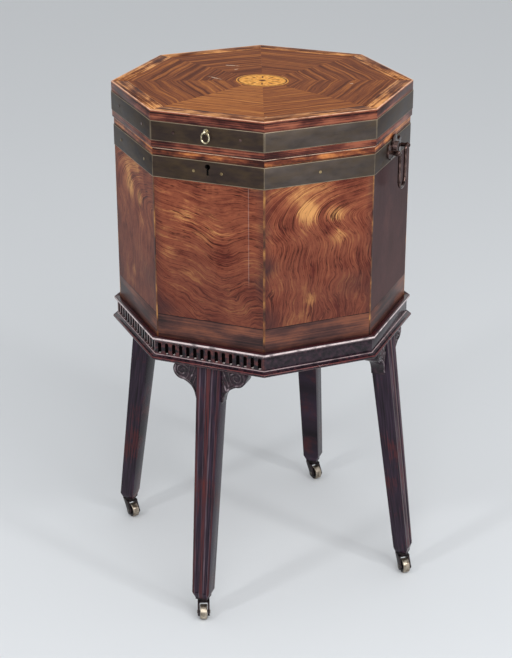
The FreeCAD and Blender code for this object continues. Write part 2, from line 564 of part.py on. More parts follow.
# Castors: each horn, wheel and axle, with the direction in which the wheel trails at rest.
TRAILS = {"front": -66, "right": -52, "back": -40, "left": -38}
for side, trail in TRAILS.items():
    foot_x, foot_y = at_foot(side)
    fork = new_body(f"castor_fork_{side}")
    eye_left, eye_right = "sizes.castor_trail - sizes.eye_radius", "sizes.castor_trail + sizes.eye_radius"
    horn = draw(on_plane(fork, "XZ_Plane"),
                [("-sizes.horn_half", "levels.collar_foot"),
                 (eye_left, "sizes.wheel_radius", "sizes.eye_radius"),
                 ("sizes.castor_trail", "sizes.wheel_radius - sizes.eye_radius", "sizes.eye_radius"),
                 (eye_right, "sizes.wheel_radius"),
                 ("sizes.collar_radius", "levels.collar_foot"),
                 ("sizes.collar_radius", "levels.horn_top"),
                 ("-sizes.horn_half", "levels.horn_top")])
    fork.Tip = pad(fork, horn, "2 * levels.fork_side", both_ways=True)
    doc.recompute()
    room = draw(on_plane(fork, "XZ_Plane"),
                rectangle("-sizes.wheel_radius", "sizes.castor_trail + sizes.wheel_radius", "0",
                          "levels.collar_foot"))
    pocket(fork, room, "2 * levels.wheel_side", both_ways=True)
    collar = draw_circle(on_plane(fork, "XY_Plane", "levels.collar_foot"), "0", "0", "sizes.collar_radius")
    fork.Tip = pad(fork, collar, "sizes.collar_height")
    doc.recompute()
    bore = draw_circle(on_plane(fork, "XY_Plane", "levels.collar_foot"), "0", "0",
                       "sizes.pintle_radius + sizes.running_gap")
    pocket(fork, bore, "sizes.collar_height", forwards=True)
    axle_hole = draw_circle(on_plane(fork, "XZ_Plane"), "sizes.castor_trail", "sizes.wheel_radius",
                            "sizes.axle_radius + sizes.running_gap")
    pocket(fork, axle_hole, "2 * levels.fork_side", both_ways=True)
    fork.Placement = Placement(Vector(), Rotation(Z_AXIS, trail))
    fork.setExpression(".Placement.Base.x", foot_x)
    fork.setExpression(".Placement.Base.y", foot_y)

    axle_x = f"{foot_x} + sizes.castor_trail * cos({trail} deg)"
    axle_y = f"{foot_y} + sizes.castor_trail * sin({trail} deg)"
    wheel = new_body(f"castor_wheel_{side}")
    tread, corner = "sizes.wheel_tread / 2", "sizes.wheel_edge"
    wheel_section = draw(on_plane(wheel, "YZ_Plane"),
                         [(f"-{tread}", "sizes.axle_radius + sizes.running_gap"),
                          (tread, "sizes.axle_radius + sizes.running_gap"),
                          (tread, f"sizes.wheel_radius - {corner}", corner),
                          (f"{tread} - {corner}", "sizes.wheel_radius"),
                          (f"-{tread} + {corner}", "sizes.wheel_radius", corner),
                          (f"-{tread}", f"sizes.wheel_radius - {corner}")])
    turned = wheel.newObject("PartDesign::Revolution", "turned")
    turned.Profile = wheel_section
    turned.ReferenceAxis = (origin_part(wheel, "Y_Axis"), [""])
    turned.Angle = TURN
    wheel.Placement = Placement(Vector(), Rotation(Z_AXIS, trail))
    for axis, formula in zip("xyz", (axle_x, axle_y, "sizes.wheel_radius")):
        wheel.setExpression(f".Placement.Base.{axis}", formula)

    along = Rotation(Z_AXIS, trail).multVec(Y_AXIS)
    end = "(levels.fork_side + sizes.rivet_thick)"
    axle_start = [f"{axle_x} - {end} * {along.x}", f"{axle_y} - {end} * {along.y}", "sizes.wheel_radius"]
    shaft = rod(f"axle_shaft_{side}", axle_start, "sizes.axle_radius", f"2 * {end}", along)
    rivet = rod(f"axle_rivet_{side}", axle_start, "sizes.rivet_radius", "sizes.rivet_thick", along)
    far_start = [f"{axle_x} + levels.fork_side * {along.x}", f"{axle_y} + levels.fork_side * {along.y}",
                 "sizes.wheel_radius"]
    far_rivet = rod(f"axle_far_rivet_{side}", far_start, "sizes.rivet_radius", "sizes.rivet_thick", along)
    node(f"castor_axle_{side}", joined(f"axle_{side}", [shaft, rivet, far_rivet]))


def octagon(half):
    """The corners of an octagon of this half width."""
    angles = [HALF_CORNER + FACE_TURN * face for face in range(FACE_COUNT)]
    return [(f"({half}) {CORNER} * cos({angle} deg)", f"({half}) {CORNER} * sin({angle} deg)")
            for angle in angles]


def on_face(face, along, out):
    """The plan position of a point on a face, counted round from the front one, and its way out."""
    angle = face * FACE_TURN - RIGHT
    place = [f"({out}) * cos({angle} deg) - ({along}) * sin({angle} deg)",
             f"({out}) * sin({angle} deg) + ({along}) * cos({angle} deg)"]
    return place, Rotation(Z_AXIS, angle).multVec(X_AXIS)


def pins(name, places, height, face_out):
    """Domed nails driven through a brass band into the wood."""
    nails = []
    for face, along in places:
        plan, way_out = on_face(face, along, f"{face_out} + sizes.pin_proud - sizes.pin_length")
        nails.append(rod(f"{name}_{face}", plan + [height], "sizes.pin_radius", "sizes.pin_length", way_out))
    node(name, group(f"{name}_group", nails))


def leaf_recess(body, height, forwards):
    """The sinkings for the two hinge leaves at the back, and the pilot holes of their screws."""
    plan = on_plane(body, "XY_Plane", height)
    holes = on_plane(body, "XY_Plane", height)
    for place in ("-sizes.hinge_place", "sizes.hinge_place"):
        draw(plan, rectangle(f"{place} - sizes.leaf_length / 2 - sizes.running_gap",
                             f"{place} + sizes.leaf_length / 2 + sizes.running_gap",
                             "levels.leaf_start - sizes.running_gap", "levels.lid_half + sizes.fit_gap"))
        for offset in ("-sizes.hinge_screw_place", "sizes.hinge_screw_place"):
            draw_circle(holes, f"{place} + {offset}", "levels.screw_out",
                        "sizes.hinge_screw_radius + sizes.running_gap")
    pocket(body, plan, "sizes.leaf_thick", forwards)
    pocket(body, holes, "sizes.hinge_screw_length", forwards)


# Box: eight mitred carcase boards, sunk at the back for the hinges and at the front for the lock.
carcase = mitred_ring("carcase_sides", rectangle("levels.inside_half", "levels.carcase_half",
                                                 "levels.seat", "levels.rim_top"))
leaf_recess(carcase, "levels.rim_top", forwards=False)
lock_plan = draw(on_plane(carcase, "XY_Plane", "levels.rim_top"),
                 rectangle("-sizes.lock_width / 2 - sizes.running_gap",
                           "sizes.lock_width / 2 + sizes.running_gap",
                           "-levels.lock_back - sizes.running_gap", "-levels.inside_half + sizes.fit_gap"))
pocket(carcase, lock_plan, "sizes.lock_height + sizes.running_gap")


def keyhole(body):
    """Cuts the keyhole through what lies in front of the lock."""
    half = "sizes.keyhole_slot / 2"
    shoulder = f"levels.keyhole_up - sqrt(sizes.keyhole_radius ^ 2 - ({half}) ^ 2)"
    outline = draw(on_plane(body, "XZ_Plane", "levels.box_face + sizes.fit_gap"),
                   [(f"-{half}", "levels.keyhole_up - sizes.keyhole_drop"),
                    (half, "levels.keyhole_up - sizes.keyhole_drop"),
                    (half, shoulder, "sizes.keyhole_radius"),
                    ("0", "levels.keyhole_up + sizes.keyhole_radius", "sizes.keyhole_radius"),
                    (f"-{half}", shoulder)])
    pocket(body, outline, "levels.box_face + sizes.fit_gap - levels.lock_back + sizes.fit_gap")


keyhole(carcase)

# Box: figured veneers between the corner strings, with a crossbanded base and a plain rim above the band.
string_gap = f"2 * (sizes.stringing_width * cos({HALF_CORNER} deg) + sizes.inlay_gap)"
for name, low, high, gap in (("side_veneers", "levels.panel_foot", "levels.box_band_foot", string_gap),
                             ("base_banding", "levels.seat", "levels.panel_foot", string_gap),
                             ("rim_banding", "levels.box_band_top", "levels.rim_top", "sizes.mitre_gap")):
    veneer = new_body(name)
    veneer_strip = mitred_strip(veneer, rectangle("levels.carcase_half", "sizes.body_half", low, high), gap)
    around(veneer, [veneer_strip])
rim = nodes["rim_banding"]
rim_plan = on_plane(rim, "XY_Plane", "levels.rim_top")
for place in ("-sizes.hinge_place", "sizes.hinge_place"):
    draw(rim_plan, rectangle(f"{place} - sizes.leaf_length / 2 - sizes.running_gap",
                             f"{place} + sizes.leaf_length / 2 + sizes.running_gap",
                             "levels.inside_half", "levels.lid_half"))
pocket(rim, rim_plan, "sizes.leaf_thick")

# Box: boxwood strings let into the eight upright corners.
stringing = new_body("corner_stringing")
string_points = []
for half in ("sizes.body_half", "levels.carcase_half"):
    tip = f"{half} {CORNER}"
    back = f"{tip} - sizes.stringing_width * sin({HALF_CORNER} deg)"
    across = f"sizes.stringing_width * cos({HALF_CORNER} deg)"
    string_points.append([(back, f"-{across}"), (tip, "0"), (back, across)])
string_plan = draw(on_plane(stringing, "XY_Plane", "levels.seat"),
                   string_points[0] + string_points[1][::-1])
around(stringing, [pad(stringing, string_plan, "levels.box_band_foot - levels.seat")])
stringing.Placement = Placement(Vector(), Rotation(Z_AXIS, HALF_CORNER))

# Box: the brass band with its keyhole and pins.
box_band = mitred_ring("box_band", rectangle("levels.carcase_half", "levels.box_face",
                                             "levels.box_band_foot", "levels.box_band_top"))
keyhole(box_band)
box_pin_places = [(0, "-sizes.lock_pin_place"), (0, "sizes.lock_pin_place"), (1, "0"), (5, "0")]
box_pin_places += [(face, f"{side} * sizes.corner_pin_place") for face in (3, 4, 7) for side in (-1, 1)]
pins("box_band_pins", box_pin_places, "levels.box_band_foot + sizes.box_band_height / 2", "levels.box_face")

# Box: floor board, metal liner, and bottle dividers halved together into a grid.
floor_board = new_body("box_floor")
pad(floor_board, draw(on_plane(floor_board, "XY_Plane", "levels.seat"), octagon("levels.liner_half")),
    "sizes.floor_thick")
liner = new_body("liner")
liner.Tip = pad(liner, draw(on_plane(liner, "XY_Plane", "levels.floor_top"), octagon("levels.liner_half")),
                "sizes.liner_height")
doc.recompute()
tray = draw(on_plane(liner, "XY_Plane", "levels.tray_floor"), octagon("levels.tray_half"))
pocket(liner, tray, "sizes.liner_height", forwards=True)

side_place = "sizes.cell_pitch"
side_board_half = (f"min(levels.divider_half; levels.divider_half * sqrt(2)"
                   f" - {side_place} - sizes.divider_thick / 2)")
divider_rows = [("0", "levels.divider_half"), (f"-{side_place}", side_board_half),
                (side_place, side_board_half)]
divider_top = "levels.tray_floor + sizes.divider_height"
divider_middle = "levels.tray_floor + sizes.divider_height / 2"
slot_half = "(sizes.divider_thick / 2 + sizes.halving_gap)"


def dividers(name, lengthwise, slot_low, slot_high):
    """Three boards on edge, each slotted to half its height where the crossing boards pass."""
    boards, slots = [], []
    for index, (place, half) in enumerate(divider_rows):
        corner = [f"-{half}", f"{place} - sizes.divider_thick / 2"]
        size = [f"2 * {half}", "sizes.divider_thick"]
        slot_corner = [f"{place} - {slot_half}", "-levels.divider_half"]
        slot_size = [f"2 * {slot_half}", "2 * levels.divider_half"]
        if not lengthwise:
            corner, size = corner[::-1], size[::-1]
            slot_corner, slot_size = slot_corner[::-1], slot_size[::-1]
        boards.append(block(f"{name}_board_{index}", corner + ["levels.tray_floor"],
                            size + ["sizes.divider_height"]))
        slots.append(block(f"{name}_slot_{index}", slot_corner + [slot_low],
                           slot_size + [f"{slot_high} - ({slot_low})"]))
    node(name, cut(f"{name}_cut", group(f"{name}_boards", boards), group(f"{name}_slots", slots)))


dividers("dividers_lengthwise", True, f"{divider_middle} - sizes.halving_gap", divider_top)
dividers("dividers_crosswise", False, "levels.tray_floor", f"{divider_middle} + sizes.halving_gap")

# Box: the lock, an open-topped case let into the front board, with a sliding bolt that has two fingers.
case_middle = "-levels.lock_middle"
case = block("lock_shell", ["-sizes.lock_width / 2", "-levels.lock_back", "levels.lock_foot"],
             ["sizes.lock_width", "sizes.lock_depth", "sizes.lock_height"])
hollow = block("lock_hollow", ["-sizes.lock_width / 2 + sizes.lock_wall",
                               "-levels.lock_back + sizes.lock_wall",
                               "levels.lock_foot + sizes.lock_wall"],
               ["sizes.lock_width - 2 * sizes.lock_wall", "sizes.lock_depth - 2 * sizes.lock_wall",
                "sizes.lock_height - 2 * sizes.lock_wall"])
staple_places = ["-sizes.staple_place", "sizes.staple_place"]
through_wall = "sizes.lock_wall + 2 * sizes.fit_gap"
mouths = [block(f"lock_mouth_{index}",
                [f"{place} - sizes.slot_gap", "-levels.lock_back + sizes.lock_wall",
                 "levels.rim_top - sizes.lock_wall - sizes.fit_gap"],
                ["sizes.staple_thick + 2 * sizes.slot_gap", "sizes.lock_depth - 2 * sizes.lock_wall",
                 through_wall])
          for index, place in enumerate(staple_places)]
key_start = "-levels.lock_back - sizes.fit_gap"
key_hole = rod("key_hole", ["0", key_start, "levels.keyhole_up"], "sizes.keyhole_slot", through_wall, Y_AXIS)
bit_slot = block("bit_slot", ["-sizes.keyhole_slot / 2", key_start,
                              "levels.keyhole_up - sizes.keyhole_drop"],
                 ["sizes.keyhole_slot", through_wall, "sizes.keyhole_drop"])
node("lock_case", cut("lock_case_cut", case,
                      joined("lock_spaces", [hollow, *mouths, key_hole, bit_slot])))

eye_foot = "levels.staple_foot + (sizes.staple_depth - sizes.staple_eye) / 2"
bolt_front = f"{case_middle} - sizes.bolt_thick / 2"
bolt_pieces = []
bar_foot = "levels.lock_foot + sizes.lock_wall + sizes.running_gap"
finger_length = "sizes.bolt_post + sizes.bolt_travel + sizes.bolt_gap"
finger_foot = f"{eye_foot} + (sizes.staple_eye - sizes.bolt_thick) / 2"
for index, place in enumerate(staple_places):
    post_start = f"{place} - sizes.bolt_gap - ({finger_length})"
    bolt_pieces.append(block(f"bolt_post_{index}", [post_start, bolt_front, bar_foot],
                             ["sizes.bolt_post", "sizes.bolt_thick",
                              f"{finger_foot} + sizes.bolt_thick - ({bar_foot})"]))
    bolt_pieces.append(block(f"bolt_finger_{index}", [post_start, bolt_front, finger_foot],
                             [finger_length, "sizes.bolt_thick", "sizes.bolt_thick"]))
bolt_start = f"{staple_places[0]} - sizes.bolt_gap - ({finger_length})"
bolt_bar = block("bolt_bar", [bolt_start, bolt_front, bar_foot],
                 ["2 * sizes.staple_place + sizes.bolt_post", "sizes.bolt_thick", "sizes.bolt_bar_height"])
node("lock_bolt", joined("lock_bolt_pieces", [bolt_bar, *bolt_pieces]))


def hinge_leaves(name, plate_end, height, screw_height, screw_way, knuckles):
    """Two hinge leaves, each a plate with its knuckles, bored for the pin and the screws."""
    leaves, screws = [], []
    for index, place in enumerate(("-sizes.hinge_place", "sizes.hinge_place")):
        pieces = [block(f"{name}_plate_{index}", [f"{place} - sizes.leaf_length / 2", "levels.leaf_start",
                                                  height],
                        ["sizes.leaf_length", f"{plate_end} - levels.leaf_start", "sizes.leaf_thick"])]
        for number, (start, stop) in enumerate(knuckles):
            pieces.append(block(f"{name}_tongue_{index}_{number}", [f"{place} + {start}", plate_end, height],
                                [f"{stop} - ({start})", f"levels.knuckle_axis_out - ({plate_end})",
                                 "sizes.leaf_thick"]))
            pieces.append(rod(f"{name}_knuckle_{index}_{number}",
                              [f"{place} + {start}", "levels.knuckle_axis_out", "levels.knuckle_axis_up"],
                              "sizes.knuckle_radius", f"{stop} - ({start})", X_AXIS))
        holes = [rod(f"{name}_bore_{index}", [f"{place} - sizes.leaf_length / 2", "levels.knuckle_axis_out",
                                              "levels.knuckle_axis_up"],
                     "sizes.hinge_pin_radius + sizes.running_gap", "sizes.leaf_length", X_AXIS)]
        for offset in ("-sizes.hinge_screw_place", "sizes.hinge_screw_place"):
            head = [f"{place} + {offset}", "levels.screw_out", screw_height]
            label = f"{index}_{len(holes)}"
            screw_size = ("sizes.hinge_screw_radius", "sizes.hinge_screw_length")
            screws.append(screw(f"{name}_screw_{label}", head, screw_way, *screw_size))
            holes.append(screw(f"{name}_hole_{label}", head, screw_way, *screw_size, "sizes.running_gap"))
        leaves.append(cut(f"{name}_leaf_{index}", joined(f"{name}_blank_{index}", pieces),
                          group(f"{name}_holes_{index}", holes)))
    node(name, group(f"{name}_group", leaves))
    return screws


# Hinges: two brass butts at the back, with a knuckle of the upper leaf between two of the lower one.
half_leaf = "sizes.leaf_length / 2"
inner_end, outer_end = "sizes.centre_knuckle / 2", "sizes.centre_knuckle / 2 + sizes.knuckle_gap"
lower_knuckles = [(f"-{half_leaf}", f"-({outer_end})"), (outer_end, half_leaf)]
lower_screws = hinge_leaves("hinge_leaves_lower", "sizes.body_half", "levels.rim_top - sizes.leaf_thick",
                            "levels.rim_top", -Z_AXIS, lower_knuckles)
node("hinge_screws_lower", group("hinge_screws_lower_group", lower_screws))
upper_screws = hinge_leaves("hinge_leaves_upper", "levels.lid_half", "levels.lid_foot", "levels.lid_foot",
                            Z_AXIS, [(f"-{inner_end}", inner_end)])
node("hinge_screws_upper", group("hinge_screws_upper_group", upper_screws))
hinge_pins = [rod(f"hinge_pin_{index}", [f"{place} - {half_leaf}", "levels.knuckle_axis_out",
                                         "levels.knuckle_axis_up"],
                  "sizes.hinge_pin_radius", "sizes.leaf_length", X_AXIS)
              for index, place in enumerate(("-sizes.hinge_place", "sizes.hinge_place"))]
node("hinge_pins", group("hinge_pin_group", hinge_pins))

# Handles: a pierced backplate with a boss, two posts and a drop bail on the right and left faces.
handle_plates = new_body("handle_plates")


def at_handle(height):
    """A height measured from the axis of the handles."""
    return f"levels.handle_up + ({height})"


right_edge = [("0", "-sizes.plate_dip", "sizes.plate_lobe"),
              ("sizes.plate_first_lobe", "-sizes.plate_low", "sizes.plate_lobe"),
              ("sizes.plate_second_lobe", "-sizes.plate_dip", "sizes.plate_lobe"),
              ("sizes.plate_half", "sizes.plate_end_up", "sizes.plate_lobe"),
              ("sizes.plate_shoulder", "sizes.plate_high", "-sizes.plate_hollow"),
              ("sizes.plate_crest", "sizes.plate_high", "sizes.plate_lobe"),
              ("0", "sizes.plate_finial", "sizes.plate_lobe")]
left_edge = [(f"-({right_edge[step][0]})", right_edge[step][1], right_edge[step - 1][2])
             for step in range(len(right_edge) - 2, 0, -1)]
plate_outline = draw(on_plane(handle_plates, "YZ_Plane", "levels.box_face"),
                     [(along, at_handle(up), radius) for along, up, radius in right_edge + left_edge])
plate_pad = pad(handle_plates, plate_outline, "sizes.plate_thick")
boss_outline = draw_circle(on_plane(handle_plates, "YZ_Plane", "levels.box_face + sizes.plate_thick"),
                           "0", at_handle("0"), "sizes.handle_boss_radius")
boss_pad = pad(handle_plates, boss_outline, "sizes.handle_boss_thick")
around(handle_plates, [plate_pad, boss_pad], 2)
piercing = on_plane(handle_plates, "YZ_Plane")
for place in ("-sizes.pierce_place", "sizes.pierce_place"):
    draw_circle(piercing, place, at_handle("0"), "sizes.pierce_radius")
pocket(handle_plates, piercing, "2 * levels.lid_half", both_ways=True)

posts = []
for side in (-1, 1):
    for place in ("-sizes.post_place", "sizes.post_place"):
        label = f"{side}_{place[0]}"
        out = Vector(side, 0, 0)
        face = f"{side} * (levels.box_face + sizes.plate_thick)"
        knob = f"{side} * levels.bail_out"
        shank = rod(f"post_shank_{label}", [face, place, "levels.handle_up"], "sizes.post_shank",
                    "sizes.post_stand", out)
        head = ball(f"post_ball_{label}", [knob, place, "levels.handle_up"], "sizes.post_radius")
        bore = rod(f"post_bore_{label}", [knob, f"{place} - sizes.post_radius", "levels.handle_up"],
                   "sizes.bail_radius + sizes.running_gap", "2 * sizes.post_radius", Y_AXIS)
        posts.append(cut(f"handle_post_{label}", joined(f"post_{label}", [shank, head]), bore))
node("handle_posts", group("handle_post_group", posts))

for side, turn in (("right", 0), ("left", BACK)):
    bail = new_body(f"bail_{side}")
    stub_end = "sizes.post_place + sizes.post_radius + sizes.bail_end"
    bend_start = "sizes.bail_half + sizes.bail_bend"
    bottom_start = "-sizes.bail_drop + sizes.bail_half"
    spine = draw(on_plane(bail, "YZ_Plane", "levels.bail_out"),
                 [(f"-({stub_end})", at_handle("0")),
                  (f"-({bend_start})", at_handle("0"), "-sizes.bail_bend"),
                  ("-sizes.bail_half", at_handle("-sizes.bail_bend")),
                  ("-sizes.bail_half", at_handle(bottom_start), "sizes.bail_half"),
                  ("0", at_handle("-sizes.bail_drop"), "sizes.bail_half"),
                  ("sizes.bail_half", at_handle(bottom_start)),
                  ("sizes.bail_half", at_handle("-sizes.bail_bend"), "-sizes.bail_bend"),
                  (bend_start, at_handle("0")),
                  (stub_end, at_handle("0"))], closed=False)
    wire = draw_circle(on_plane(bail, "XZ_Plane", stub_end), "levels.bail_out", at_handle("0"),
                       "sizes.bail_radius")
    sweep = bail.newObject("PartDesign::AdditivePipe", "sweep")
    sweep.Profile = wire
    sweep.Spine = spine
    bail.Placement = Placement(Vector(), Rotation(Z_AXIS, turn))

# Lid: eight mitred frame boards, sunk for the hinges and the link plate, under a solid top board.
frame = mitred_ring("lid_frame", rectangle("levels.lid_inside_half", "levels.lid_core_half",
                                           "levels.lid_foot", "levels.board_foot"))
leaf_recess(frame, "levels.lid_foot", forwards=True)
link_plan = draw(on_plane(frame, "XY_Plane", "levels.lid_foot"),
                 rectangle("-sizes.lock_width / 2 - sizes.running_gap",
                           "sizes.lock_width / 2 + sizes.running_gap",
                           "-levels.lock_back - sizes.running_gap", "-levels.inside_half"))
pocket(frame, link_plan, "sizes.link_plate_thick", forwards=True)
lid_board = new_body("lid_board")
pad(lid_board, draw(on_plane(lid_board, "XY_Plane", "levels.board_foot"), octagon("levels.lid_core_half")),
    "sizes.lid_board_thick")

# Lid: edge banding below and above the brass band, the hinge leaves let into it.
edges = new_body("lid_edge_banding")
edge_strips = [mitred_strip(edges, rectangle("levels.lid_core_half", "levels.lid_half", low, high))
               for low, high in (("levels.lid_foot", "levels.lid_band_foot"),
                                 ("levels.lid_band_top", "levels.board_top"))]
around(edges, edge_strips)
edge_plan = on_plane(edges, "XY_Plane", "levels.lid_foot")
for place in ("-sizes.hinge_place", "sizes.hinge_place"):
    draw(edge_plan, rectangle(f"{place} - sizes.leaf_length / 2 - sizes.running_gap",
                              f"{place} + sizes.leaf_length / 2 + sizes.running_gap",
                              "levels.inside_half", "levels.lid_half + sizes.fit_gap"))
pocket(edges, edge_plan, "sizes.leaf_thick", forwards=True)
mitred_ring("lid_band", rectangle("levels.lid_core_half", "levels.lid_face",
                                  "levels.lid_band_foot", "levels.lid_band_top"))
lid_pin_places = [(face, f"{side} * sizes.corner_pin_place") for face in (0, 3, 4, 7) for side in (-1, 1)]
pins("lid_band_pins", lid_pin_places, "levels.lid_band_foot + sizes.lid_band_height / 2", "levels.lid_face")

# Lid: the top is laid in mitred veneers round an oval patera, inside a crossbanded border.
crossband_inner = "levels.lid_half - sizes.crossband_width"
mitred_ring("lid_crossbanding", rectangle(crossband_inner, "levels.lid_half",
                                          "levels.board_top", "levels.top"))
sheet = doc.addObject("PartDesign::Body", "lid_veneer_sheet")
around(sheet, [mitred_strip(sheet, rectangle("sizes.centre_start", f"{crossband_inner} - sizes.inlay_gap",
                                             "levels.board_top", "levels.top"), "sizes.inlay_gap")])


def oval(name, spare):
    """The oval of the patera as a disc of the veneer's thickness, with some room to spare."""
    edge = doc.addObject("Part::Ellipse", f"{name}_edge")
    edge.setExpression("MajorRadius", f"sizes.patera_half_long + {spare}")
    edge.setExpression("MinorRadius", f"sizes.patera_half_short + {spare}")
    edge.setExpression(".Placement.Base.z", "levels.board_top")
    disc = doc.addObject("Part::Extrusion", name)
    disc.Base = edge
    disc.Dir = Z_AXIS
    disc.DirMode = "Custom"
    disc.Solid = True
    disc.setExpression("LengthFwd", "sizes.veneer_thick")
    return disc


node("lid_patera", oval("patera", "0"))
node("lid_veneers", cut("lid_veneers_cut", sheet, oval("patera_hole", "sizes.inlay_gap")))

# Lid: the link plate, whose two eyed staples drop into the lock.
link_front = "-levels.lock_back"
link_blank = [block("link_bar", ["-sizes.lock_width / 2", link_front, "levels.lid_foot"],
                    ["sizes.lock_width", "sizes.lock_depth - sizes.lock_wall", "sizes.link_plate_thick"])]
eyes = []
for index, place in enumerate(staple_places):
    staple_front = f"{case_middle} - sizes.staple_depth / 2"
    link_blank.append(block(f"staple_{index}", [place, staple_front, "levels.staple_foot"],
                            ["sizes.staple_thick", "sizes.staple_depth",
                             "levels.lid_foot - levels.staple_foot"]))
    eyes.append(block(f"staple_eye_{index}", [place, f"{case_middle} - sizes.staple_eye / 2", eye_foot],
                      ["sizes.staple_thick", "sizes.staple_eye", "sizes.staple_eye"]))
node("link_plate", cut("link_plate_cut", joined("link_plate_blank", link_blank),
                       group("staple_eyes", eyes)))

# Lid: a small ring pull hangs from an eyed post on the front of the band.
boss = rod("ring_boss", ["0", "-levels.lid_face", "levels.ring_up"], "sizes.ring_boss_radius",
           "sizes.ring_boss_thick", -Y_AXIS)
stem = rod("ring_stem", ["0", "-levels.lid_face", "levels.ring_up"], "sizes.ring_shank",
           "sizes.ring_stand", -Y_AXIS)
disc_start = ["-sizes.ring_post_thick / 2", "-levels.ring_out", "levels.ring_up"]
eye_disc = rod("ring_eye_disc", disc_start, "sizes.ring_post_radius", "sizes.ring_post_thick", X_AXIS)
ring_eye = rod("ring_eye", ["-sizes.ring_boss_radius", "-levels.ring_out", "levels.ring_up"],
               "sizes.ring_wire + sizes.ring_eye_gap", "2 * sizes.ring_boss_radius", X_AXIS)
node("ring_post", cut("ring_post_cut", joined("ring_post_blank", [boss, stem, eye_disc]), ring_eye))
loop = doc.addObject("Part::Ellipse", "ring_loop")
loop.setExpression("MajorRadius", "sizes.ring_half_height")
loop.setExpression("MinorRadius", "sizes.ring_half_width")
loop.Placement = Placement(Vector(), Rotation(Z_AXIS, X_AXIS, Y_AXIS))
loop.setExpression(".Placement.Base.y", "-levels.ring_out")
loop.setExpression(".Placement.Base.z", "levels.ring_up - sizes.ring_half_height")
round_wire = doc.addObject("Part::Circle", "ring_wire")
round_wire.setExpression("Radius", "sizes.ring_wire")
round_wire.Placement = Placement(Vector(), Rotation(Z_AXIS, X_AXIS))
round_wire.setExpression(".Placement.Base.y", "-levels.ring_out")
round_wire.setExpression(".Placement.Base.z", "levels.ring_up")
ring = doc.addObject("Part::Sweep", "ring_sweep")
ring.Sections = [round_wire]
ring.Spine = (loop, ["Edge1"])
ring.Solid = True
node("ring_pull", ring)

# Every piece has to be sound before any file is written.
doc.recompute()
for item in doc.Objects:
    if "Invalid" in item.State or "Error" in item.State:
        raise ValueError(f"{item.Label} did not recompute: {item.State}")
for name, part in nodes.items():
    if part.Shape.isNull() or not part.Shape.isValid() or not part.Shape.Solids:
        raise ValueError(f"{name} has no valid solid")
os.makedirs("parts", exist_ok=True)
for name, part in nodes.items():
    part.Shape.exportStep(os.path.join("parts", f"{name}.step"))
print(f"{len(nodes)} sub-parts written")
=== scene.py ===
import json
import math

import bpy
from mathutils import Matrix, Vector, noise

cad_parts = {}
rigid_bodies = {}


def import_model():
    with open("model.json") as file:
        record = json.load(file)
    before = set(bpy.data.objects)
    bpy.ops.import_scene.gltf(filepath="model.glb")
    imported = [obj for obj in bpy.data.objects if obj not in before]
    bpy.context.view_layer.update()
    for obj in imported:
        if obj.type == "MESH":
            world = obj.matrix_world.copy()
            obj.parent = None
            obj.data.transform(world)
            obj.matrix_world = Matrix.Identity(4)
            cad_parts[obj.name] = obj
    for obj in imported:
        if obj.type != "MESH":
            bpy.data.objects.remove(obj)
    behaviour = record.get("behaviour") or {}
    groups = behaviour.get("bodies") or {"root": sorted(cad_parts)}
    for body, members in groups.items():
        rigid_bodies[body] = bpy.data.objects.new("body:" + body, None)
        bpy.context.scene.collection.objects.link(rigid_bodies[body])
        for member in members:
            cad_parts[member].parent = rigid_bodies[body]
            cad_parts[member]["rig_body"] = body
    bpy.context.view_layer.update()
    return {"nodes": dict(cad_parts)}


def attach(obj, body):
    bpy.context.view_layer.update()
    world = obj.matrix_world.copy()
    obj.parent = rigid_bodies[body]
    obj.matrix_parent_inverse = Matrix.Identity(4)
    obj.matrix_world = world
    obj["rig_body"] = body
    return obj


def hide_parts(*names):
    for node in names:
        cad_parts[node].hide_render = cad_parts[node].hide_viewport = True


# An octagonal cellarette: a brass-banded, veneered box with a hinged lid, on a dark splayed stand.
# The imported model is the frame; each section dresses one piece or a group of like pieces of it.
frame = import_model()
nodes = frame["nodes"]
MM = 0.001


# Studio: the camera stands a little to the right of the keyhole and looks down on the lid. A large soft
# lamp and an even white surround light it, and two small lamps draw thin lights along the mouldings.
CAMERA_TURN, CAMERA_RISE, CAMERA_DISTANCE = math.radians(21.8), math.radians(23.34), 2.4641
LOOKED_AT, LAMPS_AIM = Vector((0, 0, 0.3538)), Vector((0, 0, 0.45))
SENSOR_WIDTH, LENS, SHIFT_ACROSS, SHIFT_UP = 36, 90.16, -0.0096, 0.0074
FLOOR_RADIUS = 14


def colour(code):
    """The linear colour of an sRGB hex value."""
    parts = [int(code[start:start + 2], 16) / 255 for start in (0, 2, 4)]
    return [part / 12.92 if part <= 0.04045 else ((part + 0.055) / 1.055) ** 2.4 for part in parts] + [1]


way_to_camera = Vector((math.sin(CAMERA_TURN) * math.cos(CAMERA_RISE),
                        -math.cos(CAMERA_TURN) * math.cos(CAMERA_RISE), math.sin(CAMERA_RISE)))
bpy.ops.object.camera_add(location=LOOKED_AT + way_to_camera * CAMERA_DISTANCE,
                          rotation=(-way_to_camera).to_track_quat("-Z", "Y").to_euler())
camera = bpy.context.object
camera.data.sensor_width = SENSOR_WIDTH
camera.data.lens = LENS
camera.data.shift_x = SHIFT_ACROSS
camera.data.shift_y = SHIFT_UP
bpy.context.scene.camera = camera
bpy.context.scene.view_settings.view_transform = "Standard"

for name, place, size, power in (("front_lamp", (1.6, -2.15, 2.45), 3.0, 66),
                                 ("left_lamp", (-1.02, -2.25, 2.1), 0.26, 11),
                                 ("right_lamp", (2.34, -0.8, 2.1), 0.26, 11)):
    way = LAMPS_AIM - Vector(place)
    bpy.ops.object.light_add(type="AREA", location=place, rotation=way.to_track_quat("-Z", "Y").to_euler())
    bpy.context.object.name = name
    bpy.context.object.data.size = size
    bpy.context.object.data.energy = power


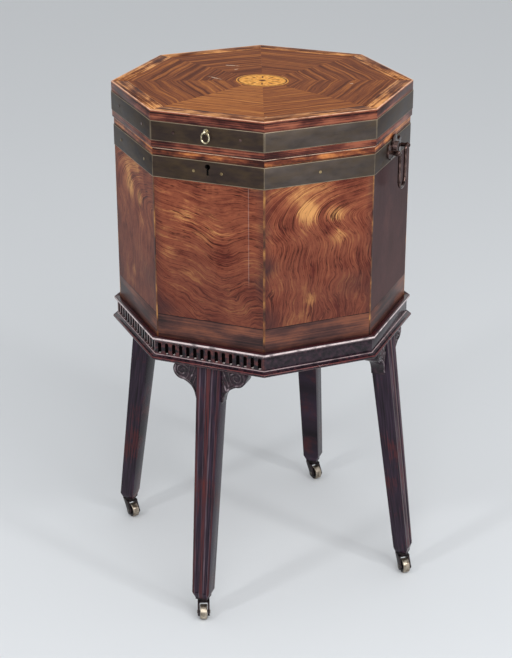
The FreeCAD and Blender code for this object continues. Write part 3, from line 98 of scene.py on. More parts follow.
def add(material, kind, settings=(), inputs=(), stops=()):
    """Adds a node with its settings, its values or links by socket, and a ramp's stops."""
    made = material.node_tree.nodes.new(f"ShaderNode{kind}")
    for setting, value in dict(settings).items():
        setattr(made, setting, value)
    for socket, value in dict(inputs).items():
        if isinstance(value, bpy.types.NodeSocket):
            material.node_tree.links.new(value, made.inputs[socket])
        else:
            made.inputs[socket].default_value = value
    for number, (place, code) in enumerate(stops):
        ramp = made.color_ramp.elements
        stop = ramp[number] if number < 2 else ramp.new(place)
        stop.position = place
        stop.color = colour(code)
    return made


# The surround lights the object evenly, and shows as a pale backdrop to the camera and in polish and brass.
surround = bpy.data.worlds.new("surround")
bpy.context.scene.world = surround
surround.use_nodes = True
surround.node_tree.nodes.clear()
rays = add(surround, "LightPath")
sharp_rays = add(surround, "Math", {"operation": "MAXIMUM"}, {0: rays.outputs["Is Glossy Ray"],
                                                              1: rays.outputs["Is Transmission Ray"]})
seen = add(surround, "Math", {"operation": "MAXIMUM"}, {0: rays.outputs["Is Camera Ray"],
                                                        1: sharp_rays.outputs[0]})
lighting = add(surround, "Background", (), {"Color": colour("ffffff"), "Strength": 0.6})
backdrop = add(surround, "Background", (), {"Color": colour("dfe2e5"), "Strength": 1})
choice = add(surround, "MixShader", (), {0: seen.outputs[0], 1: lighting.outputs[0], 2: backdrop.outputs[0]})
add(surround, "OutputWorld", (), {"Surface": choice.outputs[0]})

# Matt paper: no shine, so that it keeps the soft shadows.
floor_paint = bpy.data.materials.new("matt_paper_floor")
floor_paint.use_nodes = True
floor_shader = floor_paint.node_tree.nodes["Principled BSDF"]
floor_shader.inputs["Base Color"].default_value = colour("e0e4e8")
floor_shader.inputs["Roughness"].default_value = 0.9
bpy.ops.mesh.primitive_circle_add(vertices=64, radius=FLOOR_RADIUS, fill_type="NGON")
floor = bpy.context.object
floor.name = "floor"
floor.data.materials.append(floor_paint)


# Hidden carcase: pine boards mitred into an octagon under the veneer, the box floor between them, and the
# blocks glued into the stand's corners. All are bare softwood, sawn and planed, gone brown with age.
def start(name, shade, roughness, metallic=0.0, gloss=0.5):
    """A new material of this finish: the material, its shader, and where its piece is."""
    material = bpy.data.materials.new(name)
    material.use_nodes = True
    shader = material.node_tree.nodes["Principled BSDF"]
    shader.inputs["Base Color"].default_value = colour(shade)
    shader.inputs["Roughness"].default_value = roughness
    shader.inputs["Metallic"].default_value = metallic
    shader.inputs["Specular IOR Level"].default_value = gloss
    place = add(material, "TexCoord").outputs["Object"]
    return material, shader, place


def link(material, source, shader, socket):
    """Joins a node's first output, or the output given, to the shader."""
    output = source if isinstance(source, bpy.types.NodeSocket) else source.outputs[0]
    material.node_tree.links.new(output, shader.inputs[socket])


def drawn_out(material, place, sizes, detail, roughness=0.5):
    """A noise as long as these sizes in metres each way, such as wood has along its grain."""
    stretched = add(material, "Mapping", (), {"Vector": place, "Scale": [1 / size for size in sizes]})
    return add(material, "TexNoise", (), {"Vector": stretched.outputs[0], "Scale": 1, "Detail": detail,
                                          "Roughness": roughness})


def paint(node, material):
    """Gives a CAD piece its finish."""
    nodes[node].data.materials.clear()
    nodes[node].data.materials.append(material)


# Planed pine: dull and honey brown, its growth lines 4 mm apart across the grain. Around the lock's keyhole
# it is painted black as shade, so that the keyhole shows dark.
KEYHOLE_AT, KEYHOLE_SHADE_ENDS, KEYHOLE_SHADE_FULL = (0, -0.192, 0.667), 13 * MM, 9 * MM
pine, shader, place = start("planed_pine_gone_brown", "8e6a45", 0.75)
growth = drawn_out(pine, place, (0.004, 0.004, 0.12), 3)
tint = add(pine, "ValToRGB", (), {"Fac": growth.outputs[0]}, [(0.3, "6f4e31"), (0.7, "a98258")])
# Painted shade: within 13 mm of the keyhole the pine is mixed to black.
from_keyhole = add(pine, "VectorMath", {"operation": "DISTANCE"}, {0: place, 1: KEYHOLE_AT})
keyhole_shade = add(pine, "MapRange", (), {"Value": from_keyhole.outputs["Value"], "From Min": KEYHOLE_SHADE_ENDS,
                                    "From Max": KEYHOLE_SHADE_FULL})
shown = add(pine, "Mix", {"data_type": "RGBA"}, {0: keyhole_shade.outputs[0], 6: tint.outputs[0],
                                                 7: colour("0b0706")})
link(pine, shown.outputs[2], shader, "Base Color")
dents = add(pine, "Bump", (), {"Height": growth.outputs[0], "Strength": 0.3, "Distance": 0.2 * MM})
link(pine, dents, shader, "Normal")
for node in ("carcase_sides", "box_floor", "corner_blocks"):
    paint(node, pine)


# Stand: rails, lip and base mouldings, facings and fret, of mahogany stained almost black and french
# polished. The polish gives hard white lights on the mouldings, helped by painted highlight lines along them,
# and red wood shows where hands and feet have worn it on edges and along the base.
WELDED, FLAT = 0.002 * MM, math.radians(0.5)


def softened(name, node, width, material, segments=2, sharp=30):
    """A copy of a CAD piece in its finish, its edges eased by some mm, which takes the piece's place."""
    source = nodes[node]
    body = source["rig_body"]
    mesh = source.data.copy()
    mesh.materials.clear()
    mesh.materials.append(material)
    piece = bpy.data.objects.new(name, mesh)
    bpy.context.scene.collection.objects.link(piece)
    bpy.ops.object.select_all(action="DESELECT")
    piece.select_set(True)
    bpy.context.view_layer.objects.active = piece
    bpy.ops.mesh.customdata_custom_splitnormals_clear()
    bpy.ops.object.mode_set(mode="EDIT")
    bpy.ops.mesh.select_all(action="SELECT")
    bpy.ops.mesh.remove_doubles(threshold=WELDED)
    bpy.ops.mesh.dissolve_limited(angle_limit=FLAT)
    bpy.ops.object.mode_set(mode="OBJECT")
    if width:
        easing = piece.modifiers.new("eased", "BEVEL")
        easing.width = width * MM
        easing.segments = segments
        easing.limit_method = "ANGLE"
        easing.angle_limit = math.radians(sharp)
        easing.miter_outer = "MITER_ARC"
        bpy.ops.object.modifier_apply(modifier="eased")
    bpy.ops.object.shade_smooth_by_angle(angle=math.radians(sharp))
    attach(piece, body)
    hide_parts(node)
    return piece


def face_of(point):
    """The number of the octagon's face beside a point, counted round from the keyhole."""
    return round((math.degrees(math.atan2(point.y, point.x)) + 90) / 45) % 8


def lay_out(piece):
    """A map of metres along each face of the octagon, a face every half metre, and metres up or outwards."""
    mesh = piece.data
    layout = mesh.uv_layers.get("face") or mesh.uv_layers.new(name="face")
    for polygon in mesh.polygons:
        number = face_of(polygon.center)
        turn = math.radians(45 * number)
        along, out = Vector((math.cos(turn), math.sin(turn), 0)), Vector((math.sin(turn), -math.cos(turn), 0))
        for corner in polygon.loop_indices:
            point = mesh.vertices[mesh.loops[corner].vertex_index].co
            rise = point.dot(out) if abs(polygon.normal.z) > 0.7 else point.z
            layout.data[corner].uv = (point.dot(along) + number / 2, rise)
    return piece


def distance(material, value, middle):
    """How far a value lies from a middle, to either side."""
    apart = add(material, "Math", {"operation": "SUBTRACT"}, {0: value, 1: middle})
    return add(material, "Math", {"operation": "ABSOLUTE"}, {0: apart.outputs[0]}).outputs[0]


def worn_and_painted_line(material, base, height, low, high, code, share=0.8, ragged=0.5 * MM):
    """The colour with a line between two heights in mm, a little ragged: a rubbed, dirty or joint line, or a
    painted highlight or painted shade.
    """
    place = add(material, "TexCoord").outputs["Object"]
    chips = add(material, "TexNoise", (), {"Vector": place, "Scale": 70, "Detail": 4})
    wavy = add(material, "Math", {"operation": "MULTIPLY_ADD"}, {0: chips.outputs[0], 1: ragged, 2: height})
    middle, reach = ((low + high) / 2) * MM + ragged / 2, (high - low) / 2 * MM
    within = add(material, "MapRange", {"interpolation_type": "SMOOTHSTEP"},
                 {"Value": distance(material, wavy.outputs[0], middle), "From Min": reach * 1.15,
                  "From Max": reach * 0.7})
    broken = add(material, "MapRange", (), {"Value": chips.outputs[0], "From Min": 0.36, "From Max": 0.5,
                                            "To Min": 0.35, "To Max": share})
    amount = add(material, "Math", {"operation": "MULTIPLY"}, {0: within.outputs[0], 1: broken.outputs[0]})
    mixed = add(material, "Mix", {"data_type": "RGBA"}, {0: amount.outputs[0], 6: base, 7: colour(code)})
    return mixed.outputs[2]


# Stained mahogany, french polished: near black, with hard white lights, and on the lip and base mouldings
# painted highlight and painted shade lines. The fibres are drawn 6 mm apart, coarser than they are, so that
# they show, and the wear in patches of about 40 mm.
def stained_mahogany(name, worn, wear_low, lines=()):
    """Nearly black polished mahogany; worn is how much red wood shows, lines the rubbed lines and the painted
    highlight and shade lines, by height.
    """
    material, shader, place = start(name, "221820", 0.2, gloss=0.3)
    fibres = add(material, "TexNoise", (), {"Vector": place, "Scale": 160, "Detail": 4})
    patches = add(material, "TexNoise", (), {"Vector": place, "Scale": 26, "Detail": 4})
    dark = add(material, "ValToRGB", (), {"Fac": fibres.outputs[0]}, [(0.35, "140d13"), (0.68, "33222d")])
    bare = add(material, "Math", {"operation": "MULTIPLY_ADD"},
               {0: patches.outputs[0], 1: 0.6, 2: fibres.outputs[0]})
    mask = add(material, "MapRange", (), {"Value": bare.outputs[0], "From Min": wear_low,
                                          "From Max": wear_low + 0.22, "To Max": worn})
    tint = add(material, "Mix", {"data_type": "RGBA"}, {0: mask.outputs[0], 6: dark.outputs[0],
                                                        7: colour("5e2f2b")})
    shown = tint.outputs[2]
    if lines:
        height = add(material, "SeparateXYZ", (), {0: place}).outputs[2]
        for line in lines:
            shown = worn_and_painted_line(material, shown, height, *line)
    link(material, shown, shader, "Base Color")
    sheen = add(material, "MapRange", (), {"Value": patches.outputs[0], "To Min": 0.1, "To Max": 0.32})
    link(material, sheen, shader, "Roughness")
    relief = add(material, "Bump", (), {"Height": bare.outputs[0], "Strength": 0.1, "Distance": 0.25 * MM})
    link(material, relief, shader, "Normal")
    return material


def mottled(name, shade, roughness, patches, detail, tones, metallic=0.0, gloss=0.5, pitted=0.0):
    """A finish that drifts between tones, with so many patches in a metre and pits of this strength."""
    material, shader, place = start(name, shade, roughness, metallic, gloss)
    clouds = add(material, "TexNoise", (), {"Vector": place, "Scale": patches, "Detail": detail})
    tint = add(material, "ValToRGB", (), {"Fac": clouds.outputs[0]}, tones)
    link(material, tint, shader, "Base Color")
    if pitted:
        pits = add(material, "Bump", (), {"Height": clouds.outputs[0], "Strength": pitted,
                                          "Distance": 0.2 * MM})
        link(material, pits, shader, "Normal")
    return material


stand_wood = stained_mahogany("black_stained_mahogany_polished", 0.4, 0.86)
# The lip's lines, by height: a painted highlight along its foot, painted shade under its bead, a broad
# painted highlight along the bead's crest, and a dark red line at its top.
lip_wood = stained_mahogany("black_stained_mahogany_lip", 0.3, 0.9,
                            [(409.4, 410.4, "8f797d", 0.7), (411, 412.6, "0c0608"),
                             (413, 415.8, "dccaca", 0.95, 0.3 * MM), (416.3, 417.2, "40181a")])
# The base bead's lines, by height: two pale lines that are painted highlights, with a red worn line between
# them.
worn_and_highlit_wood = stained_mahogany("black_stained_mahogany_worn_red_and_painted_highlights", 0.5, 0.8,
                             [(382.9, 383.8, "8f6f6b", 0.7), (386.2, 387.4, "6f2f2b", 0.7),
                              (389.5, 390.6, "b29a9c", 0.75)])
# Painted shade: a dead black, in patches of about 11 mm, on the rails behind the fret and under the box,
# where the slots show only shade.
shadow_wood = mottled("black_painted_shadow_behind_fret", "120b0c", 0.9, 90, 3,
                      [(0.3, "050304"), (0.75, "120a0b")], gloss=0.05)
paint("stand_rails", shadow_wood)
paint("inner_brackets", stand_wood)
# The fret: the sides of its slots are painted black as shade, and their level feet painted pale as the light
# that falls on them.
fret_wood = stained_mahogany("black_stained_mahogany_fret_painted_shade_and_light", 0.8, 0.7)
shader = fret_wood.node_tree.nodes["Principled BSDF"]
normal = add(fret_wood, "NewGeometry").outputs["Normal"]
place = add(fret_wood, "TexCoord").outputs["Object"]
level = add(fret_wood, "VectorMath", {"operation": "MULTIPLY"}, {0: place, 1: (1, 1, 0)})
way_out = add(fret_wood, "VectorMath", {"operation": "NORMALIZE"}, {0: level.outputs[0]})
front = add(fret_wood, "VectorMath", {"operation": "DOT_PRODUCT"}, {0: way_out.outputs[0], 1: normal})
# Painted shade: faces turned away from the front, the sides of the slots, are mixed to black.
in_slot = add(fret_wood, "MapRange", (), {"Value": front.outputs["Value"], "From Min": 0.7, "From Max": 0.5})
slot_painted_shade = add(fret_wood, "Mix", {"data_type": "RGBA"},
            {0: in_slot.outputs[0], 6: shader.inputs["Base Color"].links[0].from_socket, 7: colour("0a0607")})
# Painted light: faces turned up, the feet of the slots, are mixed to pale.
facing_up = add(fret_wood, "SeparateXYZ", (), {0: normal})
ledge = add(fret_wood, "MapRange", (), {"Value": facing_up.outputs[2], "From Min": 0.5, "From Max": 0.9})
ledge_painted_light = add(fret_wood, "Mix", {"data_type": "RGBA"},
            {0: ledge.outputs[0], 6: slot_painted_shade.outputs[2], 7: colour("dacfcd")})
link(fret_wood, ledge_painted_light.outputs[2], shader, "Base Color")
paint("fretwork", fret_wood)
for name, node, width, material in (("lip_moulding", "stand_lip", 0.5, lip_wood),
                                    ("base_bead_moulding", "base_moulding", 0.5, worn_and_highlit_wood),
                                    ("smooth_facings", "plain_facings", 0.3, stand_wood)):
    piece = softened(name, node, width, material)


# Legs: the same mahogany, reeded on the outer face. The polish has gone from the reeds, which show red, and
# lies thick and blue-black in the flutes between them. Thin pale lines along the reeds' crests are painted
# highlights.

# Worn french polish: a satin blue-black, with red streaks 50 mm long. REEDS holds how far out each red reed
# and each pale line along a reed's crest lies, in half widths of the leg, with its reach, its core, its tone
# and its strength; the pale lines are painted highlights.
leg_wood, shader, place = start("reeded_mahogany_leg_worn_red", "241a22", 0.24, gloss=0.16)
layout = add(leg_wood, "UVMap", {"uv_map": "face"}).outputs[0]
parts = add(leg_wood, "SeparateXYZ", (), {0: layout})
drawn = add(leg_wood, "Mapping", (), {"Vector": layout, "Scale": (2.4, 1 / 0.16, 1)})
streaks = add(leg_wood, "TexNoise", (), {"Vector": drawn.outputs[0], "Scale": 3, "Detail": 4})
dark = add(leg_wood, "ValToRGB", (), {"Fac": streaks.outputs[0]}, [(0.3, "1a141a"), (0.7, "382b3a")])
REEDS = ((0.06, 0.15, 0.08, "5f2d28", 0.7), (0.27, 0.07, 0.03, "7d6b73", 0.5),
         (0.87, 0.12, 0.07, "572c28", 0.6), (0.73, 0.05, 0.02, "77656e", 0.45))
shown = dark.outputs[0]
aside = add(leg_wood, "Math", {"operation": "ABSOLUTE"}, {0: parts.outputs[0]})
for middle, reach, core, tone, most in REEDS:
    on_reed = add(leg_wood, "MapRange", {"interpolation_type": "SMOOTHSTEP"},
                  {"Value": distance(leg_wood, aside.outputs[0], middle), "From Min": reach,
                   "From Max": core})
    worn_and_lit_share = add(leg_wood, "MapRange", (), {"Value": streaks.outputs[0], "From Min": 0.4, "From Max": 0.6,
                                            "To Min": 0.15, "To Max": most})
    share = add(leg_wood, "Math", {"operation": "MULTIPLY"}, {0: on_reed.outputs[0], 1: worn_and_lit_share.outputs[0]})
    shown = add(leg_wood, "Mix", {"data_type": "RGBA"}, {0: share.outputs[0], 6: shown,
                                                         7: colour(tone)}).outputs[2]
rubs = add(leg_wood, "TexNoise", (), {"Vector": place, "Scale": 17, "Detail": 4, "Roughness": 0.6})
worn = add(leg_wood, "Math", {"operation": "MULTIPLY_ADD"},
           {0: streaks.outputs[0], 1: 0.6, 2: rubs.outputs[0]})
red = add(leg_wood, "MapRange", (), {"Value": worn.outputs[0], "From Min": 0.84, "From Max": 0.98,
                                     "To Max": 0.6})
shown = add(leg_wood, "Mix", {"data_type": "RGBA"}, {0: red.outputs[0], 6: shown,
                                                     7: colour("56241f")}).outputs[2]
link(leg_wood, shown, shader, "Base Color")
relief = add(leg_wood, "Bump", (), {"Height": streaks.outputs[0], "Strength": 0.25, "Distance": 0.3 * MM})
link(leg_wood, relief, shader, "Normal")
LEG_TURNS = {"front": 0, "right": 90, "back": 180, "left": 270}
TOP_HALF, FOOT_HALF, LEG_TOP, LEG_END = 18 * MM, 13 * MM, 383 * MM, 41 * MM
TOP_OUT, FOOT_OUT = 200 * MM, 241 * MM
# The side faces of a leg take the streaks from further over, past the reeds.
SIDES_MAP = 9
for side, turn in LEG_TURNS.items():
    leg = softened(f"reeded_leg_{side}", f"leg_{side}", 0.9, leg_wood, 3, 25)
    mesh = leg.data
    leg_map = mesh.uv_layers.new(name="face")
    across = Vector((math.cos(math.radians(turn)), math.sin(math.radians(turn)), 0))
    outwards = Vector((across.y, -across.x, 0))
    for polygon in mesh.polygons:
        outer = polygon.normal.dot(outwards) > 0.25
        for corner in polygon.loop_indices:
            point = mesh.vertices[mesh.loops[corner].vertex_index].co
            share = min(max((LEG_TOP - point.z) / (LEG_TOP - LEG_END), 0), 1)
            half = TOP_HALF + share * (FOOT_HALF - TOP_HALF)
            depth = point.dot(outwards) - TOP_OUT - share * (FOOT_OUT - TOP_OUT)
            leg_map.data[corner].uv = (point.dot(across) / half if outer else SIDES_MAP + depth / half,
                                       point.z + turn)


# Carved brackets: mahogany corner pieces under the rails, each carved with a scroll in its round lobe, a
# fillet along its edge and three leaf blades. The ground is black with old polish, and the crests are painted
# light as highlights.
carved_wood = stained_mahogany("carved_black_mahogany_ground", 0.2, 0.9)
# The crests: glossy, painted grey in patches of about 10 mm as highlights.
crest_wood_painted_highlight = mottled("carved_mahogany_crests_painted_highlight", "3a2d33", 0.13, 95, 4,
                     [(0.36, "1c1317"), (0.68, "85767c"), (0.54, "3d2d33")])
BRACKET_FACE, CREST_RADIUS = -198.5 * MM, 1.3 * MM
# The scroll's middle and the carved lines, in mm aside from the leg's middle and up from the floor.
SCROLL = (40.5, 372.8)
CARVED_LINES = [[(19.6, 333), (21.4, 343), (26.4, 351.6), (32.6, 357.4), (38.4, 360.6), (46.6, 362),
                 (52, 368.3), (52.6, 374.6), (50.6, 380)],
                [(21, 380), (24, 371.5), (27.4, 364.4), (29.6, 357.6)],
                [(19.8, 366), (22.4, 359.6), (24.6, 353.8), (25.4, 349.6)],
                [(28.6, 380.6), (30.4, 373), (31.8, 366), (34.4, 361.6)]]
CARVED_LINES.append([(SCROLL[0] + reach * math.cos(sweep), SCROLL[1] + reach * math.sin(sweep))
                     for reach, sweep in ((8.8, 2.7), (8.8, 1.9), (8.6, 1.1), (8.2, 0.3), (7.6, -0.5),
                                          (6.8, -1.3), (5.9, -2.1), (4.9, -2.9), (4.0, -3.8), (3.1, -4.8),
                                          (2.2, -5.8))])


def carve(name, turn, side):
    """The raised lines on one bracket; side is 1 on the right of the leg and -1 on its left."""
    lines = []
    for line in CARVED_LINES:
        bpy.ops.curve.primitive_nurbs_path_add()
        curve = bpy.context.object.data
        curve.splines.clear()
        spline = curve.splines.new("NURBS")
        spline.points.add(len(line) - 1)
        for point, (across, up) in zip(spline.points, line):
            point.co = (side * across * MM, BRACKET_FACE, up * MM, 1)
        spline.order_u = 3
        spline.use_endpoint_u = True
        curve.bevel_depth = CREST_RADIUS
        curve.bevel_resolution = 2
        curve.resolution_u = 5
        curve.use_fill_caps = True
        lines.append(bpy.context.object)
    bpy.ops.object.select_all(action="DESELECT")
    for line in lines:
        line.select_set(True)
    bpy.context.view_layer.objects.active = lines[0]
    bpy.ops.object.convert(target="MESH")
    bpy.ops.object.join()
    piece = bpy.context.object
    piece.name = name
    piece.data.transform(Matrix.Rotation(math.radians(turn), 4, "Z"))
    piece.matrix_world = Matrix.Identity(4)
    bpy.ops.object.mode_set(mode="EDIT")
    bpy.ops.mesh.select_all(action="SELECT")
    bpy.ops.mesh.normals_make_consistent(inside=False)
    bpy.ops.object.mode_set(mode="OBJECT")
    bpy.ops.object.shade_smooth()
    piece.data.materials.clear()
    piece.data.materials.append(crest_wood_painted_highlight)
    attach(piece, "stand")


brackets = softened("ogee_brackets", "carved_brackets", 0.8, carved_wood, 3)
for leg_side, turn in LEG_TURNS.items():
    carve(f"bracket_carving_{leg_side}_right", turn, 1)
    carve(f"bracket_carving_{leg_side}_left", turn, -1)


# Castors: blackened iron plates, pintles and horns with brass rollers, whose treads are bright brass and
# whose cheeks take the dark iron finish. TRAILS says which way each one is turned.
TRAILS = {"front": -66, "right": -52, "back": -40, "left": -38}
# Blackened wrought iron: a dull black with brown rust and pits about 4 mm apart.
iron = mottled("blackened_wrought_iron", "1c1819", 0.42, 260, 4, [(0.35, "120f12"), (0.72, "382d2e")],
               metallic=0.8, pitted=0.4)
# Cast brass worn by rolling: a pale satin metal, darker where dirt has stayed, every 5 mm or so.
roller_brass = mottled("worn_roller_brass", "b09c7c", 0.32, 180, 4, [(0.3, "5c5046"), (0.7, "c2b6a4")],
                       metallic=0.9)
# Turned steel gone dull: grey, with marks 2.5 mm apart.
steel = mottled("dull_steel", "6f6b67", 0.45, 400, 2, [(0.3, "55504c"), (0.7, "85807a")], metallic=0.9)
paint("castor_plates", iron)
paint("castor_screws", steel)
for side in LEG_TURNS:
    fork = softened(f"castor_horn_{side}", f"castor_fork_{side}", 0.5, iron)
    paint(f"castor_axle_{side}", steel)
    wheel = softened(f"castor_roller_{side}", f"castor_wheel_{side}", 0.3, roller_brass)
    wheel.data.materials.append(iron)
    trail = math.radians(TRAILS[side])
    axle = Vector((-math.sin(trail), math.cos(trail), 0))
    for polygon in wheel.data.polygons:
        polygon.material_index = 1 if abs(polygon.normal.dot(axle)) > 0.9 else 0


# Side panels: knife-cut mahogany veneers, laid one to a face between the corner strings and waxed over old
# polish. Leaves of falling, hanging and plain figure go round the box, and the two plain ones, under the
# handles, are darker, partly by their own tone and partly as painted shade on the sides that face away from
# the light. Every leaf is darker towards its foot and its side edges, and in spots.
PANEL_FOOT, PANEL_TOP, BODY_HALF, VENEER = 450.5 * MM, 649 * MM, 194 * MM, 1 * MM
STRING_WIDTH = 1.6 * MM
PANEL_HEIGHT = PANEL_TOP - PANEL_FOOT
# The heights at which the darkening towards the foot is full and gone, less the 160 mm or so that its clouds
# take off.
FOOT_DARKEST, FOOT_UNDARKENED = 280 * MM, 470 * MM
SCRATCH_AT, SCRATCH_FOOT = 58 * MM, 505 * MM
panel_width = 2 * BODY_HALF * math.tan(math.radians(22.5)) - 2 * STRING_WIDTH


def blend(low, high, value):
    """How far a value is from low to high, from 0 to 1, with soft ends."""
    share = min(max((value - low) / (high - low), 0), 1)
    return share * share * (3 - 2 * share)


def falling_figure(across, up):
    """Lines that come in level from the right and fall away steeply towards the left edge."""
    fall = (14 + 44 * (1 - up / PANEL_HEIGHT)) * MM
    drop = fall * math.exp(-(across + panel_width / 2) / (32 * MM))
    hump = 7 * MM * math.sin((across + 10 * MM) / (17 * MM)) * blend(190 * MM, 120 * MM, up)
    return up - drop + hump, across


def hanging_figure(across, up):
    """Lines that come in from the upper right, turn, and hang down like hair, leaning right as they fall."""
    lean = 26 * MM * blend(168 * MM, 105 * MM, up)
    left = max(80 * MM - across + lean + 2.2 * MM * math.sin(up / (8 * MM)), 0)
    above = max(up - 132 * MM - 0.14 * across, 0) / 0.45
    return (left ** 3 + above ** 3) ** (1 / 3), up - across


def plain_figure(across, up):
    """Upright lines that bow a little about the middle of the leaf."""
    return across * (1 + 0.5 * (up / PANEL_HEIGHT - 0.5) ** 2) + 4 * MM * math.sin(up / (45 * MM)), up


# Round the box: each leaf's figure, its spots of painted sheen, and its darker spots. A spot is mm across
# from the leaf's middle, mm up from its foot, its radius in mm and its strength.
LEAVES = [falling_figure, hanging_figure, plain_figure, hanging_figure,
          falling_figure, hanging_figure, plain_figure, hanging_figure]
PAINTED_SHEEN_SPOTS = {falling_figure: ((-34, 150, 30, 0.6), (0, 128, 34, 0.35), (40, 30, 30, 0.2), (-60, 95, 18, 0.3)),
          hanging_figure: ((-16, 158, 24, 1.0), (-30, 186, 40, 0.6), (14, 190, 30, 0.6), (22, 152, 20, 0.9),
                           (28, 120, 20, 0.6), (-12, 32, 14, 0.7), (-20, 12, 16, 0.4)),
          plain_figure: ((-20, 120, 30, 0.3),)}
DARK_SPOTS = {falling_figure: ((-72, 8, 34, 0.9), (66, 198, 22, 0.5), (70, 60, 26, 0.5)),
          hanging_figure: ((-74, 92, 22, 0.8), (-76, 8, 34, 0.9), (70, 50, 34, 0.55), (40, 44, 26, 0.35)),
          plain_figure: ((-60, 190, 30, 0.4),)}


def spots_at(vertex, spots):
    """How much of these spots lies on a vertex of the leaf."""
    return sum(share * blend(reach * MM, 0, math.hypot(vertex.co.x - across * MM,
                                                       vertex.co.y + PANEL_HEIGHT / 2 - up * MM))
               for across, up, reach, share in spots)


# Waxed crotch mahogany: a low satin gloss over red-brown wood, with a gold sheen painted in where the grain
# turns. Its streaks are 2 mm apart, its veins 7 mm and its painted gold sheen 16 mm. The flecks are pores,
# drawn 1.7 mm apart, which is coarser than they are.
def figured_leaf(name, low, middle, high, foot_darkening):
    """Mahogany veneer between these tones; its map holds metres across and along the grain."""
    material, shader, place = start(name, middle, 0.36, gloss=0.06)
    grain = add(material, "UVMap", {"uv_map": "grain"}).outputs[0]
    gleam = add(material, "Attribute", {"attribute_name": "gleam"}).outputs["Fac"]
    gold_sheen = drawn_out(material, grain, (0.016, 0.09, 1), 2)
    streak = drawn_out(material, grain, (0.0022, 0.045, 1), 4, 0.6)
    patch = add(material, "TexNoise", (), {"Vector": place, "Scale": 22, "Detail": 5, "Roughness": 0.65})
    sum_of_two = add(material, "Math", {"operation": "MULTIPLY_ADD"}, {0: streak.outputs[0], 1: 0.95,
                                                                       2: patch.outputs[0]})
    figure = add(material, "Math", {"operation": "MULTIPLY_ADD"}, {0: gold_sheen.outputs[0], 1: 0.5,
                                                                   2: sum_of_two.outputs[0]})
    streaky = add(material, "Math", {"operation": "MULTIPLY"}, {0: gleam, 1: streak.outputs[0]})
    lit = add(material, "Math", {"operation": "MULTIPLY_ADD"}, {0: streaky.outputs[0], 1: 1.1,
                                                                2: figure.outputs[0]})
    spread = add(material, "MapRange", (), {"Value": lit.outputs[0], "From Min": 0.82, "From Max": 1.84})
    tint = add(material, "ValToRGB", (), {"Fac": spread.outputs[0]},
               [(0.14, low), (0.95, high), (0.5, middle)])
    vein = drawn_out(material, grain, (0.0075, 0.13, 1), 3)
    veins = add(material, "MapRange", (), {"Value": distance(material, vein.outputs[0], 0.5),
                                           "From Min": 0.004, "From Max": 0.024, "To Min": 0.95, "To Max": 0})
    veins_here = add(material, "MapRange", (), {"Value": patch.outputs[0], "From Min": 0.64,
                                                "From Max": 0.44})
    veined = add(material, "Math", {"operation": "MULTIPLY"}, {0: veins.outputs[0],
                                                               1: veins_here.outputs[0]})
    fleck = drawn_out(material, grain, (0.0017, 0.008, 1), 2)
    flecks = add(material, "MapRange", (), {"Value": fleck.outputs[0], "From Min": 0.6, "From Max": 0.68,
                                            "To Max": 0.6})
    parts = add(material, "SeparateXYZ", (), {0: place})
    cloud_height = add(material, "Math", {"operation": "MULTIPLY_ADD"},
                       {0: patch.outputs[0], 1: -0.32, 2: parts.outputs[2]})
    darker_to_foot = add(material, "MapRange", {"interpolation_type": "SMOOTHSTEP"},
                 {"Value": cloud_height.outputs[0], "From Min": FOOT_DARKEST, "From Max": FOOT_UNDARKENED,
                  "To Min": foot_darkening, "To Max": 0})
    soil = add(material, "Attribute", {"attribute_name": "soil"}).outputs["Fac"]
    cloudy = add(material, "MapRange", (), {"Value": patch.outputs[0], "From Min": 0.35, "From Max": 0.65,
                                            "To Min": 0.35, "To Max": 1})
    darkened = add(material, "Math", {"operation": "MULTIPLY"}, {0: soil, 1: cloudy.outputs[0]})
    thin = add(material, "MapRange", (), {"Value": distance(material, parts.outputs[0], SCRATCH_AT),
                                          "From Min": 0.6 * MM, "From Max": 0.2 * MM})
    in_front = add(material, "MapRange", (), {"Value": parts.outputs[1], "From Min": 6 * MM - BODY_HALF,
                                              "From Max": 2 * MM - BODY_HALF})
    high_up = add(material, "MapRange", (), {"Value": parts.outputs[2], "From Min": SCRATCH_FOOT,
                                             "From Max": SCRATCH_FOOT + 15 * MM, "To Max": 0.5})
    scratch = thin
    for bound in (in_front, high_up, cloudy):
        scratch = add(material, "Math", {"operation": "MULTIPLY"}, {0: scratch.outputs[0],
                                                                    1: bound.outputs[0]})
    shown = tint.outputs[0]
    for amount, code in ((veined, "371a16"), (flecks, "331916"), (darker_to_foot, "52312e"), (darkened, "37272a"),
                         (scratch, "b59a92")):
        shown = add(material, "Mix", {"data_type": "RGBA"}, {0: amount.outputs[0], 6: shown,
                                                             7: colour(code)}).outputs[2]
    link(material, shown, shader, "Base Color")
    relief = add(material, "Bump", (), {"Height": streak.outputs[0], "Strength": 0.2, "Distance": 0.25 * MM})
    link(material, relief, shader, "Normal")
    return material


figured_wood = figured_leaf("waxed_crotch_mahogany_veneer", "562620", "8d4f39", "d2985e", 0.5)
